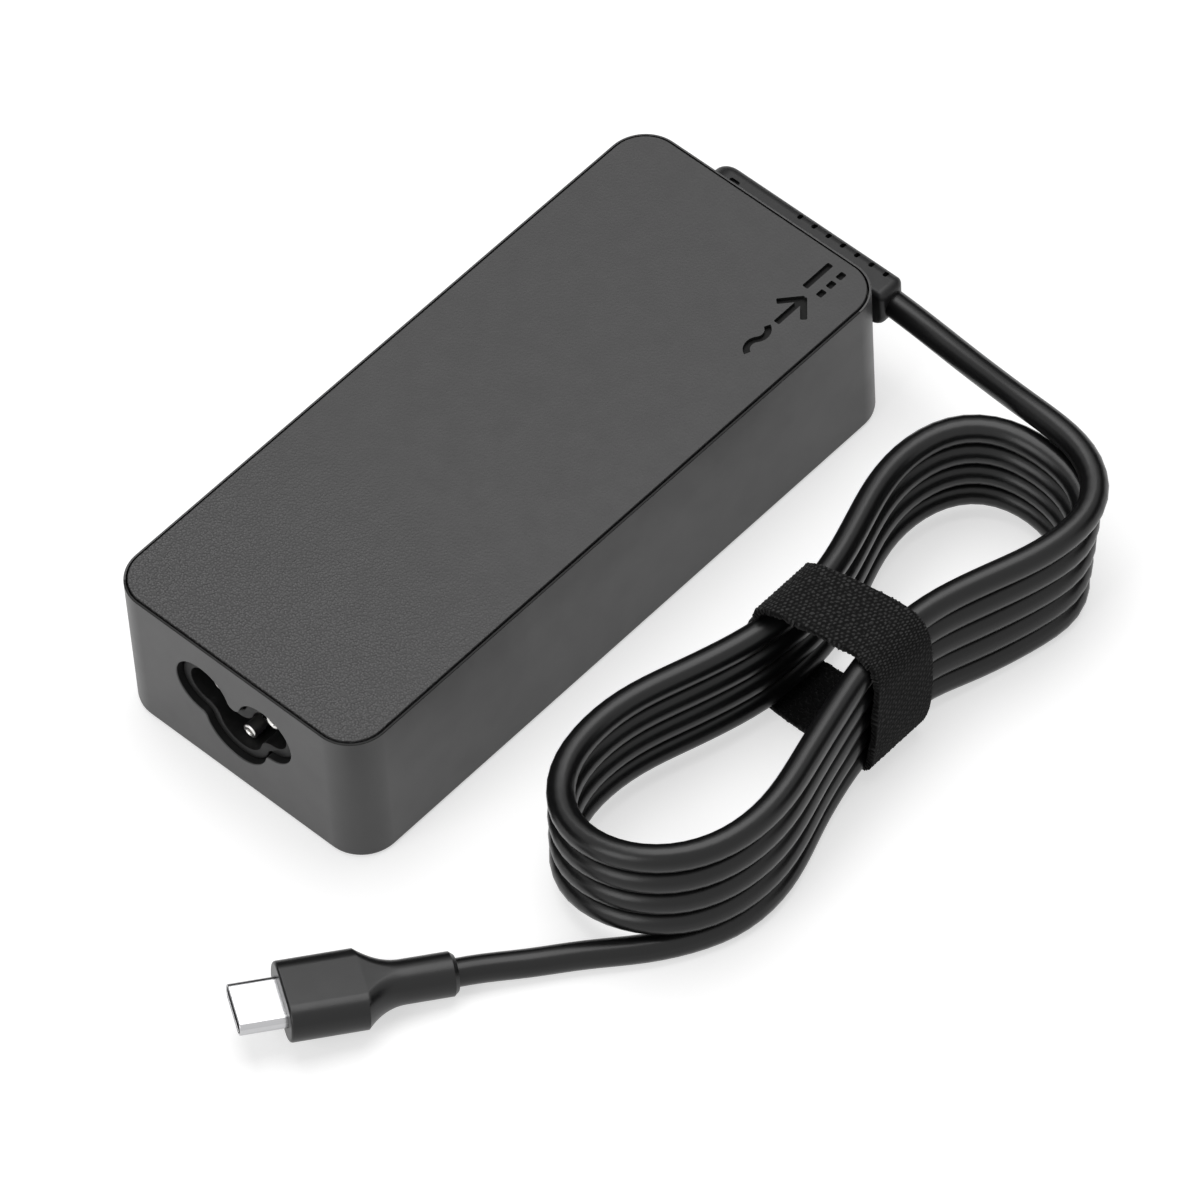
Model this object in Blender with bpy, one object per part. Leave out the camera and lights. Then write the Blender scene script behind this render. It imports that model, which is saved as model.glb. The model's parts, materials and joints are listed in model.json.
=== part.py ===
"""Laptop power adapter: a rounded case with an earthed mains inlet at one end and, at the
other, a ribbed right-angle boot whose cord is wound in a tied hank and ends in an oval plug.

Frame: origin at the centre of the case's bottom face, +X from the mains inlet to the boot,
-Y towards the side where the cord lies, +Z up. Lengths are in metres.
"""

import math

import bmesh
import bpy
from mathutils import Vector

MM = 0.001
SEAT_GAP = 0.3 * MM  # left between pieces that touch

# Case
CASE_LENGTH = 108.0 * MM
CASE_WIDTH = 46.6 * MM
CASE_HEIGHT = 25.6 * MM
CASE_CORNER = 6.0 * MM
CASE_FOOT_ROUND = 0.8 * MM
WALL = 2.0 * MM
FLOOR = 2.0 * MM
RIM_WIDTH = 0.3 * MM
RIM_DROP = 0.2 * MM
RIM_ROUND = 0.15 * MM
GROOVE = 0.3 * MM
COVER_THICKNESS = 2.0 * MM
COVER_ROUND = 0.15 * MM
RIB_LENGTH = 4.0 * MM
RIB_THICKNESS = 1.2 * MM
RIB_HEIGHT = 2.6 * MM

# Mains inlet
LOBE_RADIUS = 4.9 * MM
LOBE_SIDE = 5.85 * MM
LOBE_RISE = 2.9 * MM  # this and the other rises are above the middle of the case's height
EARTH_LOBE_RADIUS = 5.7 * MM
EARTH_LOBE_RISE = -1.3 * MM
VALLEY_RISE = 3.4 * MM
WAIST_FILLET = 1.0 * MM
LEDGE_WIDTH = 1.5 * MM
INLET_RECESS = 1.0 * MM
SOCKET_DEPTH = 11.8 * MM
HOUSING_WALL = 1.4 * MM
HOUSING_ROUND = 0.8 * MM
PIN_RADIUS = 1.2 * MM
PIN_SIDE = 5.0 * MM
PIN_RISE = 2.5 * MM
EARTH_PIN_RISE = -3.8 * MM
PIN_RECESS = 1.4 * MM
PIN_BEND = 1.8 * MM
PIN_TIP_LENGTH = 0.6 * MM
PIN_TIP_SHARE = 0.55  # of the pin's radius, at its very tip
CRADLE_LENGTH = 9.0 * MM
CRADLE_WIDTH = 12.0 * MM

# Circuit board
BOARD_THICKNESS = 1.6 * MM
BOARD_LIFT = 1.8 * MM
BOARD_MARGIN = 1.0 * MM
BOARD_CORNER = 2.0 * MM
POST_RADIUS = 2.0 * MM
POST_INSET = 3.4 * MM

# Edges of the pieces on the board
PIECE_EDGE = 0.4 * MM
CHIP_EDGE = 0.2 * MM
CAN_EDGE = 0.5 * MM
CAN_CRIMP_DEPTH = 0.6 * MM
CAN_CRIMP_START = 1.6 * MM
CAN_CRIMP_LENGTH = 1.4 * MM
DISC_EDGE = 1.0 * MM

# Pieces near the inlet. A *_BACK is a distance from the board's inlet edge to a piece's middle,
# a *_INSET is the gap from the board's long edge to a piece's side.
EDGE_INSET = 0.7 * MM
FUSE_RADIUS = 4.0 * MM
FUSE_HEIGHT = 8.0 * MM
FUSE_BACK = 8.4 * MM
FUSE_Y = 4.0 * MM
THERMISTOR_RADIUS = 4.2 * MM
THERMISTOR_THICKNESS = 3.8 * MM
THERMISTOR_BACK = 15.4 * MM
THERMISTOR_Y = 3.8 * MM
X_CAPACITOR_SIZE = (17.0 * MM, 8.2 * MM, 13.5 * MM)
X_CAPACITOR_BACK = 12.4 * MM
CHOKE_RADIUS = 5.2 * MM
CHOKE_BAR = 1.9 * MM
CHOKE_WIRE = 0.8 * MM
CHOKE_BACK = 12.0 * MM
WINDING_TURNS = 9
WINDING_SWEEP = math.radians(120.0)

# Isolation barrier, back from the board's cord edge, with the pieces on the mains side of it.
# A *_CLEAR is the gap from one piece to the next on the way back from the barrier.
BARRIER_THICKNESS = 0.8 * MM
BARRIER_BACK = 15.4 * MM
TRANSFORMER_CLEAR = 1.5 * MM
CORE_WIDTH = 20.0 * MM
CORE_DEPTH = 9.6 * MM
CORE_BACK = 3.2 * MM
CORE_SIDE_LEG = 2.9 * MM
CORE_MIDDLE_LEG = 6.0 * MM
WINDING_CORNER = 2.4 * MM
PAD_WIDTH = 17.0 * MM
PAD_THICKNESS = 0.8 * MM
SINK_CLEAR = 1.2 * MM
SINK_SIZE = (13.0 * MM, 1.8 * MM, 13.4 * MM)
SINK_LIP = 3.0 * MM
TRANSISTOR_SIZE = (10.0 * MM, 4.3 * MM, 8.6 * MM)
TRANSISTOR_TAB_THICKNESS = 1.3 * MM
CONTROLLER_SIZE = (5.0 * MM, 4.0 * MM, 1.5 * MM)
CONTROLLER_Y = -4.6 * MM
Y_CAPACITOR_CLEAR = 0.8 * MM
Y_CAPACITOR_RADIUS = 3.7 * MM
Y_CAPACITOR_THICKNESS = 3.2 * MM
Y_CAPACITOR_INSET = 4.0 * MM
OPTOCOUPLER_SIZE = (4.6 * MM, 6.4 * MM, 3.4 * MM)
OPTOCOUPLER_Y = 6.0 * MM
BULK_CLEAR = 0.8 * MM
BULK_RADIUS = 6.8 * MM
BULK_LENGTH = 25.0 * MM
BRIDGE_CLEAR = 1.0 * MM
BRIDGE_SIZE = (3.6 * MM, 13.0 * MM, 10.5 * MM)

# Pieces on the cord's side of the barrier, placed back from the board's cord edge
OUTPUT_CAPACITOR_RADIUS = 4.0 * MM
OUTPUT_CAPACITOR_HEIGHT = 13.0 * MM
OUTPUT_CAPACITOR_BACK = 9.4 * MM
OUTPUT_CAPACITOR_CLEAR = 0.6 * MM
INDUCTOR_RADIUS = 4.2 * MM
INDUCTOR_HEIGHT = 8.0 * MM
INDUCTOR_FLANGE = 1.3 * MM
INDUCTOR_GROOVE = 0.6 * MM
INDUCTOR_BACK = 9.6 * MM
INDUCTOR_Y = 4.2 * MM
RECTIFIER_SIZE = (6.0 * MM, 5.0 * MM, 1.3 * MM)
RECTIFIER_BACK = 9.6 * MM
RECTIFIER_INSET = 3.9 * MM
PORT_CHIP_SIZE = (4.0 * MM, 4.0 * MM, 0.9 * MM)
PORT_CHIP_BACK = 2.8 * MM
PORT_CHIP_Y = -9.0 * MM
TERMINAL_RADIUS = 0.8 * MM
TERMINAL_HEIGHT = 3.0 * MM
TERMINAL_BACK = 2.4 * MM
TERMINAL_SPREAD = 2.6 * MM
WIRE_RADIUS = 0.55 * MM

# Heat spreader over the board
SPREADER_THICKNESS = 0.5 * MM
SPREADER_ENDS = (2.6 * MM, 2.2 * MM)  # short of the board at its inlet edge and at its cord edge

# Boot
BOOT_GAP = 0.6 * MM
BOOT_DEPTH = 5.1 * MM
BOOT_HALF_HEIGHT = 3.7 * MM
BOOT_ROUND = 1.7 * MM
BOOT_INNER_ROUND = 0.85 * MM
BOOT_HEAD_Y = 10.0 * MM
BOOT_RISE = 4.1 * MM
BOOT_END_Y = -21.2 * MM
BOOT_END_ROUND = 1.3 * MM
BOOT_NECK_RADIUS = 2.8 * MM
BOOT_FLANGE_RADIUS = 4.2 * MM
BOOT_FLANGE_THICKNESS = 1.5 * MM
SLOT_COUNT = 7
SLOT_PITCH = 2.67 * MM
SLOT_FIRST_BACK = 2.5 * MM
SLOT_WIDTH = 0.7 * MM
SLOT_LENGTH = 1.6 * MM
SLOT_DEPTH = 1.2 * MM
SLOT_OFFSET = 0.7 * MM

# Cord
CORD_RADIUS = 2.0 * MM
CORD_POINT_SPACING = 9.0 * MM
LEAD_IN_MIDDLE = ((0.05660, -0.0280, 0.0170), (0.05610, -0.0340, 0.0172), (0.05560, -0.0400, 0.0176))
LEAD_IN_LAST = (0.05528, -0.0456, 0.0183)
LEAD_OUT_FIRST = (-0.04320, -0.0583, 0.0020)
LEAD_OUT_MIDDLE = ((-0.04860, -0.0537, 0.0020), (-0.05360, -0.0496, 0.0021))
HANK_SPINE_Y = -53.9 * MM
HANK_LEFT_X = -24.5 * MM
HANK_WAIST_X = 9.0 * MM
HANK_RIGHT_X = 37.0 * MM
HANK_HALF_WIDTH = 16.2 * MM
HANK_WAIST_HALF = 9.7 * MM
HANK_LEFT_REACH = 17.1 * MM
HANK_RIGHT_REACH = 18.4 * MM
HANK_TOP = 21.4 * MM
HANK_ROUND = 1.4 * MM

# Strap round the hank's waist
STRAP_WIDTH = 12.6 * MM
STRAP_THICKNESS = 1.0 * MM
STRAP_CORNER = 2.4 * MM

# Plug, in its own frame: +X out of the front face, which is at x = 0
PLUG_FACE_XY = (-79.9 * MM, -32.9 * MM)
PLUG_HEADING = math.radians(147.5)
PLUG_PITCH = math.radians(7.0)  # the stiff cord holds the front face off the floor
PLUG_WIDTH = 12.35 * MM
PLUG_THICKNESS = 6.5 * MM
PLUG_BODY_LENGTH = 10.9 * MM
PLUG_TAPER_LENGTH = 6.0 * MM
PLUG_NECK_LENGTH = 7.2 * MM
PLUG_NECK_RADIUS = 3.1 * MM
PLUG_EDGE = 0.4 * MM
CONTACT_SHELL_WIDTH = 8.25 * MM
CONTACT_SHELL_THICKNESS = 2.4 * MM
CONTACT_SHELL_WALL = 0.3 * MM
CONTACT_SHELL_REACH = 6.65 * MM
CONTACT_SHELL_ROOT = 3.6 * MM
FINE_GAP = 0.1 * MM
INSERT_RECESS = 0.5 * MM
TONGUE_SLOT_WIDTH = 6.6 * MM
TONGUE_SLOT_HEIGHT = 1.1 * MM
CONTACT_COUNT = 12
CONTACT_PITCH = 0.5 * MM
CONTACT_WIDTH = 0.25 * MM
CONTACT_THICKNESS = 0.12 * MM
CONTACT_CLEARANCE = 0.05 * MM
CONTACT_LENGTH = 3.6 * MM
CONTACT_BAR = 0.8 * MM

# Places that follow from the sizes above
CASE_END = CASE_LENGTH / 2
RIM_TOP = CASE_HEIGHT - RIM_DROP
COVER_UNDERSIDE = CASE_HEIGHT - COVER_THICKNESS
LEDGE_TOP = COVER_UNDERSIDE - SEAT_GAP
CAVITY_END = CASE_END - WALL
CAVITY_SIDE = CASE_WIDTH / 2 - WALL
NOSE_FRONT = -CASE_END + INLET_RECESS
HOUSING_FRONT = -CAVITY_END + SEAT_GAP
SOCKET_BACK = NOSE_FRONT + SOCKET_DEPTH
HOUSING_BACK = SOCKET_BACK + HOUSING_WALL
MID_HEIGHT = CASE_HEIGHT / 2
LOBE_HEIGHT = MID_HEIGHT + LOBE_RISE
EARTH_LOBE_HEIGHT = MID_HEIGHT + EARTH_LOBE_RISE
VALLEY_HEIGHT = MID_HEIGHT + VALLEY_RISE
HOUSING_SIDE = LOBE_SIDE + LOBE_RADIUS + HOUSING_WALL
HOUSING_TOP = LOBE_HEIGHT + LOBE_RADIUS + HOUSING_WALL
HOUSING_BOTTOM = EARTH_LOBE_HEIGHT - EARTH_LOBE_RADIUS - HOUSING_WALL
BOARD_BOTTOM = FLOOR + BOARD_LIFT
BOARD_TOP = BOARD_BOTTOM + BOARD_THICKNESS
SEAT = BOARD_TOP + SEAT_GAP
BOARD_START = HOUSING_BACK + BOARD_MARGIN
BOARD_STOP = CAVITY_END - BOARD_MARGIN - BOOT_FLANGE_THICKNESS
SPREADER_SIDE = CAVITY_SIDE - SEAT_GAP
SPREADER_TOP = COVER_UNDERSIDE - SEAT_GAP
SPREADER_UNDERSIDE = SPREADER_TOP - SPREADER_THICKNESS
BOARD_SIDE = SPREADER_SIDE - SPREADER_THICKNESS - SEAT_GAP
ROW_SIDE = BOARD_SIDE - EDGE_INSET  # how far out the pieces along the board's long edges reach
ROOM_TOP = SPREADER_UNDERSIDE - SEAT_GAP
BARRIER_X = BOARD_STOP - BARRIER_BACK
CORE_HEIGHT = ROOM_TOP - PAD_THICKNESS - SEAT_GAP - SEAT
CORE_X = BARRIER_X - BARRIER_THICKNESS / 2 - TRANSFORMER_CLEAR - CORE_WIDTH / 2
WINDING_BUILD = CORE_WIDTH / 2 - CORE_SIDE_LEG - CORE_MIDDLE_LEG / 2 - 2 * SEAT_GAP
CORE_Y = CORE_DEPTH / 2 + SEAT_GAP + WINDING_BUILD - ROW_SIDE
SINK_X = CORE_X - CORE_WIDTH / 2 - SINK_CLEAR - SINK_SIZE[0] / 2
SINK_Y = SINK_SIZE[1] / 2 - ROW_SIDE
Y_CAPACITOR_X = BARRIER_X - BARRIER_THICKNESS / 2 - Y_CAPACITOR_CLEAR - Y_CAPACITOR_RADIUS
BULK_STOP = Y_CAPACITOR_X - Y_CAPACITOR_RADIUS - BULK_CLEAR
BRIDGE_X = BULK_STOP - BULK_LENGTH - BRIDGE_CLEAR - BRIDGE_SIZE[0] / 2
PIN_LEG_X = BOARD_START + PIN_RADIUS + SEAT_GAP
BOOT_HEIGHT = MID_HEIGHT + BOOT_RISE
BOOT_INNER = CASE_END + BOOT_GAP
BOOT_OUTER = BOOT_INNER + BOOT_DEPTH
BOOT_MIDDLE_X = (BOOT_INNER + BOOT_OUTER) / 2
HANK_BOTTOM = STRAP_THICKNESS + SEAT_GAP
PLUG_LENGTH = PLUG_BODY_LENGTH + PLUG_TAPER_LENGTH + PLUG_NECK_LENGTH
PLUG_AHEAD = Vector(
    (
        math.cos(PLUG_HEADING) * math.cos(PLUG_PITCH),
        math.sin(PLUG_HEADING) * math.cos(PLUG_PITCH),
        math.sin(PLUG_PITCH),
    )
)
PLUG_FACE_HEIGHT = (PLUG_LENGTH - PLUG_EDGE) * PLUG_AHEAD.z + PLUG_NECK_RADIUS * math.cos(PLUG_PITCH)
PLUG_FACE = Vector((*PLUG_FACE_XY, PLUG_FACE_HEIGHT))

FINISHES = {
    "case plastic": ((0.075, 0.074, 0.076), 0.55, 0.0),
    "boot rubber": ((0.060, 0.060, 0.062), 0.60, 0.0),
    "cord jacket": ((0.035, 0.034, 0.036), 0.45, 0.0),
    "strap weave": ((0.030, 0.030, 0.030), 0.95, 0.0),
    "black plastic": ((0.015, 0.015, 0.015), 0.45, 0.0),
    "steel": ((0.70, 0.70, 0.72), 0.22, 1.0),
    "brass": ((0.78, 0.60, 0.30), 0.30, 1.0),
    "aluminium": ((0.75, 0.75, 0.77), 0.35, 1.0),
    "copper": ((0.72, 0.38, 0.22), 0.30, 1.0),
    "board": ((0.04, 0.20, 0.09), 0.50, 0.0),
    "ferrite": ((0.07, 0.07, 0.075), 0.65, 0.0),
    "yellow tape": ((0.80, 0.62, 0.08), 0.50, 0.0),
    "blue ceramic": ((0.06, 0.16, 0.45), 0.45, 0.0),
    "capacitor sleeve": ((0.03, 0.04, 0.10), 0.35, 0.0),
    "capacitor case": ((0.72, 0.60, 0.22), 0.45, 0.0),
    "clear sheet": ((0.80, 0.78, 0.70), 0.40, 0.0),
    "red wire": ((0.50, 0.03, 0.03), 0.45, 0.0),
    "thermal pad": ((0.45, 0.50, 0.55), 0.80, 0.0),
}


# Outlines and routes


def arc(centre, radius, start, sweep, steps):
    """Points on an arc, with both of its ends."""
    return [
        (
            centre[0] + radius * math.cos(start + sweep * k / steps),
            centre[1] + radius * math.sin(start + sweep * k / steps),
        )
        for k in range(steps + 1)
    ]


def rounded_rectangle(low, high, radius, steps=5):
    """Outline of a rectangle between two corners with its corners rounded, anticlockwise."""
    corners = (
        ((high[0] - radius, low[1] + radius), -math.pi / 2),
        ((high[0] - radius, high[1] - radius), 0.0),
        ((low[0] + radius, high[1] - radius), math.pi / 2),
        ((low[0] + radius, low[1] + radius), math.pi),
    )
    return [point for centre, start in corners for point in arc(centre, radius, start, math.pi / 2, steps)]


def centred_rectangle(length, width, radius, steps=5):
    """Outline of a rounded rectangle about the origin."""
    return rounded_rectangle((-length / 2, -width / 2), (length / 2, width / 2), radius, steps)


def circle(radius, steps, centre=(0.0, 0.0)):
    """Outline of a circle."""
    return arc(centre, radius, 0.0, 2 * math.pi, steps)[:-1]


def meeting_point(first, first_radius, second, second_radius):
    """The point at these distances from two centres that lies to the right of the way between them."""
    between = Vector(second) - Vector(first)
    along = (between.length_squared + first_radius**2 - second_radius**2) / (2 * between.length)
    aside = math.sqrt(first_radius**2 - along**2)
    way = between.normalized()
    return tuple(Vector(first) + along * way + aside * Vector((way.y, -way.x)))


def turn_between(start, stop, clockwise):
    """The signed angle from one heading to another in the stated sense."""
    return -((start - stop) % (2 * math.pi)) if clockwise else (stop - start) % (2 * math.pi)


def heading(start, stop):
    """The direction from one point to another."""
    return math.atan2(stop[1] - start[1], stop[0] - start[0])


def inlet_outline(inset):
    """The inlet's three-lobed outline in (y, z), drawn parallel to itself by the inset."""
    right = (LOBE_SIDE, LOBE_HEIGHT)
    left = (-LOBE_SIDE, LOBE_HEIGHT)
    earth = (0.0, EARTH_LOBE_HEIGHT)
    drop = VALLEY_HEIGHT - LOBE_HEIGHT
    valley_fillet = (LOBE_SIDE**2 + drop**2 - LOBE_RADIUS**2) / (2 * (LOBE_RADIUS - drop))
    valley = (0.0, VALLEY_HEIGHT + valley_fillet)
    waist = meeting_point(
        earth, EARTH_LOBE_RADIUS + WAIST_FILLET, right, LOBE_RADIUS + WAIST_FILLET
    )
    other_waist = (-waist[0], waist[1])
    lobe = LOBE_RADIUS - inset
    stretches = (
        (earth, EARTH_LOBE_RADIUS - inset, other_waist, waist, False),
        (waist, WAIST_FILLET + inset, earth, right, True),
        (right, lobe, waist, valley, False),
        (valley, valley_fillet + inset, right, left, True),
        (left, lobe, valley, other_waist, False),
        (other_waist, WAIST_FILLET + inset, left, earth, True),
    )
    points = []
    for centre, radius, before, after, clockwise in stretches:
        start = heading(centre, before)
        sweep = turn_between(start, heading(centre, after), clockwise)
        points += arc(centre, radius, start, sweep, 3 if clockwise else 9)[:-1]
    return points


def hank_side(side, steps=6):
    """One long side of the hank in plan, from left to right, straight where the strap holds it."""
    held = STRAP_WIDTH / 2 + SEAT_GAP
    points = []
    for end_x, held_x in ((HANK_LEFT_X, HANK_WAIST_X - held), (HANK_RIGHT_X, HANK_WAIST_X + held)):
        for k in range(1, steps + 1):
            share = k / steps
            drawn_in = (HANK_HALF_WIDTH - HANK_WAIST_HALF) * (1 - math.cos(math.pi * share)) / 2
            x = end_x + (held_x - end_x) * share
            points.append((x, HANK_SPINE_Y + side * (HANK_HALF_WIDTH - drawn_in)))
    return sorted(points)


def hank_end(centre_x, reach, start, steps=12):
    """One round end of the hank in plan."""
    turns = [start + math.pi * k / steps for k in range(steps + 1)]
    return [
        (centre_x + reach * math.cos(turn), HANK_SPINE_Y + HANK_HALF_WIDTH * math.sin(turn))
        for turn in turns
    ]


def hank_outline():
    """Outline of the tied hank in plan: two round ends and a waist between them."""
    right = hank_end(HANK_RIGHT_X, HANK_RIGHT_REACH, -math.pi / 2)
    left = hank_end(HANK_LEFT_X, HANK_LEFT_REACH, math.pi / 2)
    return right + hank_side(1)[::-1] + left + hank_side(-1)


def smooth_route(points, spacing):
    """Points at about this spacing on a smooth curve through the route's own points."""
    knots = [Vector(p) for p in points]
    knots = [2 * knots[0] - knots[1]] + knots + [2 * knots[-1] - knots[-2]]
    route = []
    for a, b, c, d in zip(knots, knots[1:], knots[2:], knots[3:]):
        steps = max(1, round((c - b).length / spacing))
        for k in range(steps):
            t = k / steps
            route.append(
                0.5 * (2 * b + (c - a) * t + (2 * a - 5 * b + 4 * c - d) * t**2
                       + (3 * b - a - 3 * c + d) * t**3)
            )
    return route + [knots[-2]]


# Meshes


def place(outline, level, axis):
    """The outline's points in space, on the plane at this level along the axis."""
    if axis == "X":
        return [Vector((level, u, v)) for u, v in outline]
    if axis == "Y":
        return [Vector((v, level, u)) for u, v in outline]
    return [Vector((u, v, level)) for u, v in outline]


def skin(bm, rings, closed):
    """Quads between consecutive rings of vertices."""
    pairs = list(zip(rings, rings[1:])) + ([(rings[-1], rings[0])] if closed else [])
    for first, second in pairs:
        for k in range(len(first)):
            m = (k + 1) % len(first)
            bm.faces.new((first[k], first[m], second[m], second[k]))


def loft(rings, closed=False):
    """A solid through rings of points: capped at both ends, or joined end to end."""
    bm = bmesh.new()
    made = [[bm.verts.new(point) for point in ring] for ring in rings]
    skin(bm, made, closed)
    if not closed:
        bm.faces.new(made[0])
        bm.faces.new(made[-1])
    bmesh.ops.recalc_face_normals(bm, faces=bm.faces)
    return bm


def sleeve(outer_rings, inner_rings):
    """A hollow solid between two stacks of rings, open at both ends."""
    bm = bmesh.new()
    outer = [[bm.verts.new(point) for point in ring] for ring in outer_rings]
    inner = [[bm.verts.new(point) for point in ring] for ring in inner_rings]
    skin(bm, outer, False)
    skin(bm, inner, False)
    for rim, hole in ((outer[0], inner[0]), (outer[-1], inner[-1])):
        skin(bm, [rim, hole], False)
    bmesh.ops.recalc_face_normals(bm, faces=bm.faces)
    return bm


def prism(outline, low, high, axis="Z"):
    """The outline extruded along an axis."""
    return loft([place(outline, low, axis), place(outline, high, axis)])


def round_level(bm, axis, level, radius, segments=2):
    """Rounds the edges that lie in the plane at this level."""
    index = "XYZ".index(axis)
    edges = [e for e in bm.edges if all(abs(v.co[index] - level) < 1e-7 for v in e.verts)]
    bmesh.ops.bevel(bm, geom=edges, offset=radius, segments=segments, profile=0.5, affect="EDGES")
    return bm


def box(size, centre, radius=0.0, segments=2):
    """A box about its centre, with its edges rounded when a radius is given."""
    bm = bmesh.new()
    bmesh.ops.create_cube(bm, size=1.0)
    bmesh.ops.scale(bm, vec=size, verts=bm.verts)
    bmesh.ops.translate(bm, vec=centre, verts=bm.verts)
    if radius:
        bmesh.ops.bevel(
            bm, geom=bm.edges[:], offset=radius, segments=segments, profile=0.5, affect="EDGES"
        )
    return bm


def turned(profile, centre, steps=20, axis="Z"):
    """A solid of revolution: a profile of (radius, level) pairs turned about an axis."""
    bm = loft([place(circle(radius, steps), level, axis) for radius, level in profile])
    bmesh.ops.translate(bm, vec=centre, verts=bm.verts)
    return bm


def joined(*meshes):
    """Several separate meshes in one, for a cutter that makes a row of cuts."""
    bm = bmesh.new()
    for part in meshes:
        mesh = bpy.data.meshes.new("row")
        part.to_mesh(mesh)
        part.free()
        bm.from_mesh(mesh)
        bpy.data.meshes.remove(mesh)
    return bm


# Objects


def clear_scene():
    """Removes every object of the opened file."""
    for old in list(bpy.data.objects):
        bpy.data.objects.remove(old, do_unlink=True)


def finish_of(name):
    """The named material, made on its first use."""
    material = bpy.data.materials.get(name)
    if material is None:
        colour, roughness, metallic = FINISHES[name]
        material = bpy.data.materials.new(name)
        material.use_nodes = True
        shader = material.node_tree.nodes["Principled BSDF"]
        shader.inputs["Base Color"].default_value = (*colour, 1.0)
        shader.inputs["Roughness"].default_value = roughness
        shader.inputs["Metallic"].default_value = metallic
    return material


def add(name, bm, finish, parent=None):
    """Turns a bmesh into an object with smooth round faces and its own finish."""
    mesh = bpy.data.meshes.new(name)
    bm.to_mesh(mesh)
    bm.free()
    mesh.shade_smooth()
    mesh.set_sharp_from_angle(angle=math.radians(40))
    mesh.materials.append(finish_of(finish))
    made = bpy.data.objects.new(name, mesh)
    bpy.context.scene.collection.objects.link(made)
    made.parent = parent
    return made


def combine(target, name, bm, operation):
    """Cuts a hidden helper out of the target, or joins it to the target."""
    mesh = bpy.data.meshes.new(name)
    bm.to_mesh(mesh)
    bm.free()
    helper = bpy.data.objects.new(name, mesh)
    bpy.context.scene.collection.objects.link(helper)
    helper.parent = target
    helper.hide_render = True
    helper.display_type = "WIRE"
    modifier = target.modifiers.new(name, "BOOLEAN")
    modifier.object = helper
    modifier.operation = operation
    modifier.solver = "EXACT"


def cut(target, name, bm):
    """Cuts a shape out of the target."""
    combine(target, name, bm, "DIFFERENCE")


def unite(target, name, bm):
    """Joins a shape to the target."""
    combine(target, name, bm, "UNION")


def tube(name, route, radius, finish, tip=1.0):
    """A round bar along a route, its first point drawn in to a share of the radius."""
    curve = bpy.data.curves.new(name, "CURVE")
    curve.dimensions = "3D"
    curve.bevel_depth = radius
    curve.bevel_resolution = 2
    curve.use_fill_caps = True
    spline = curve.splines.new("POLY")
    spline.points.add(len(route) - 1)
    for point, position in zip(spline.points, route):
        point.co = (*position, 1.0)
    spline.points[0].radius = tip
    curve.materials.append(finish_of(finish))
    made = bpy.data.objects.new(name, curve)
    bpy.context.scene.collection.objects.link(made)
    return made


# Case


def case_outline(inset):
    """The case's outline in plan, drawn in from its outside by the inset."""
    return centred_rectangle(
        CASE_LENGTH - 2 * inset, CASE_WIDTH - 2 * inset, max(CASE_CORNER - inset, RIM_WIDTH), 7
    )


def post_places():
    """Where the board's four posts stand."""
    return [
        (x, y)
        for x in (BOARD_START + POST_INSET, BOARD_STOP - POST_INSET)
        for y in (POST_INSET - BOARD_SIDE, BOARD_SIDE - POST_INSET)
    ]


def make_case_shell():
    """The deep lower shell, with its rim, posts, inlet opening and boot hole."""
    body = prism(case_outline(0.0), 0.0, RIM_TOP)
    round_level(body, "Z", 0.0, CASE_FOOT_ROUND)
    round_level(body, "Z", RIM_TOP, RIM_ROUND)
    shell = add("case_shell", body, "case plastic")
    above = CASE_HEIGHT + WALL
    cut(shell, "case_cavity", prism(case_outline(WALL), FLOOR, above))
    cut(shell, "cover_seat", prism(case_outline(RIM_WIDTH), LEDGE_TOP, above))
    cut(shell, "inlet_opening", prism(inlet_outline(0.0), -CASE_END - WALL, -CAVITY_END + WALL, "X"))
    hole = circle(BOOT_NECK_RADIUS + SEAT_GAP, 20, (BOOT_HEAD_Y, BOOT_HEIGHT))
    cut(shell, "boot_hole", prism(hole, CAVITY_END - WALL, CASE_END + WALL, "X"))
    for number, (x, y) in enumerate(post_places(), 1):
        post = prism(circle(POST_RADIUS, 12, (x, y)), FLOOR / 2, BOARD_BOTTOM - SEAT_GAP)
        unite(shell, f"board_post_{number}", post)
    cradle = (CRADLE_LENGTH, CRADLE_WIDTH, HOUSING_BOTTOM - SEAT_GAP - FLOOR / 2)
    cradle_centre = ((HOUSING_FRONT + HOUSING_BACK) / 2, 0.0, FLOOR / 2 + cradle[2] / 2)
    unite(shell, "inlet_cradle", box(cradle, cradle_centre))


def make_case_cover():
    """The top cover: a plate let into the shell's rim, with four locating ribs below."""
    plate = prism(case_outline(RIM_WIDTH + GROOVE), COVER_UNDERSIDE, CASE_HEIGHT)
    round_level(plate, "Z", CASE_HEIGHT, COVER_ROUND)
    cover = add("case_cover", plate, "case plastic")
    rib_x = CAVITY_END - SEAT_GAP - RIB_THICKNESS / 2
    rib_y = CAVITY_SIDE - (CASE_CORNER - WALL) - RIB_LENGTH / 2
    overlap = COVER_THICKNESS / 2
    size = (RIB_THICKNESS, RIB_LENGTH, RIB_HEIGHT + overlap)
    level = COVER_UNDERSIDE + overlap - size[2] / 2
    places = [(x, y) for x in (-rib_x, rib_x) for y in (-rib_y, rib_y)]
    for number, (x, y) in enumerate(places, 1):
        unite(cover, f"cover_rib_{number}", box(size, (x, y, level)))


# Mains inlet


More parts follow.
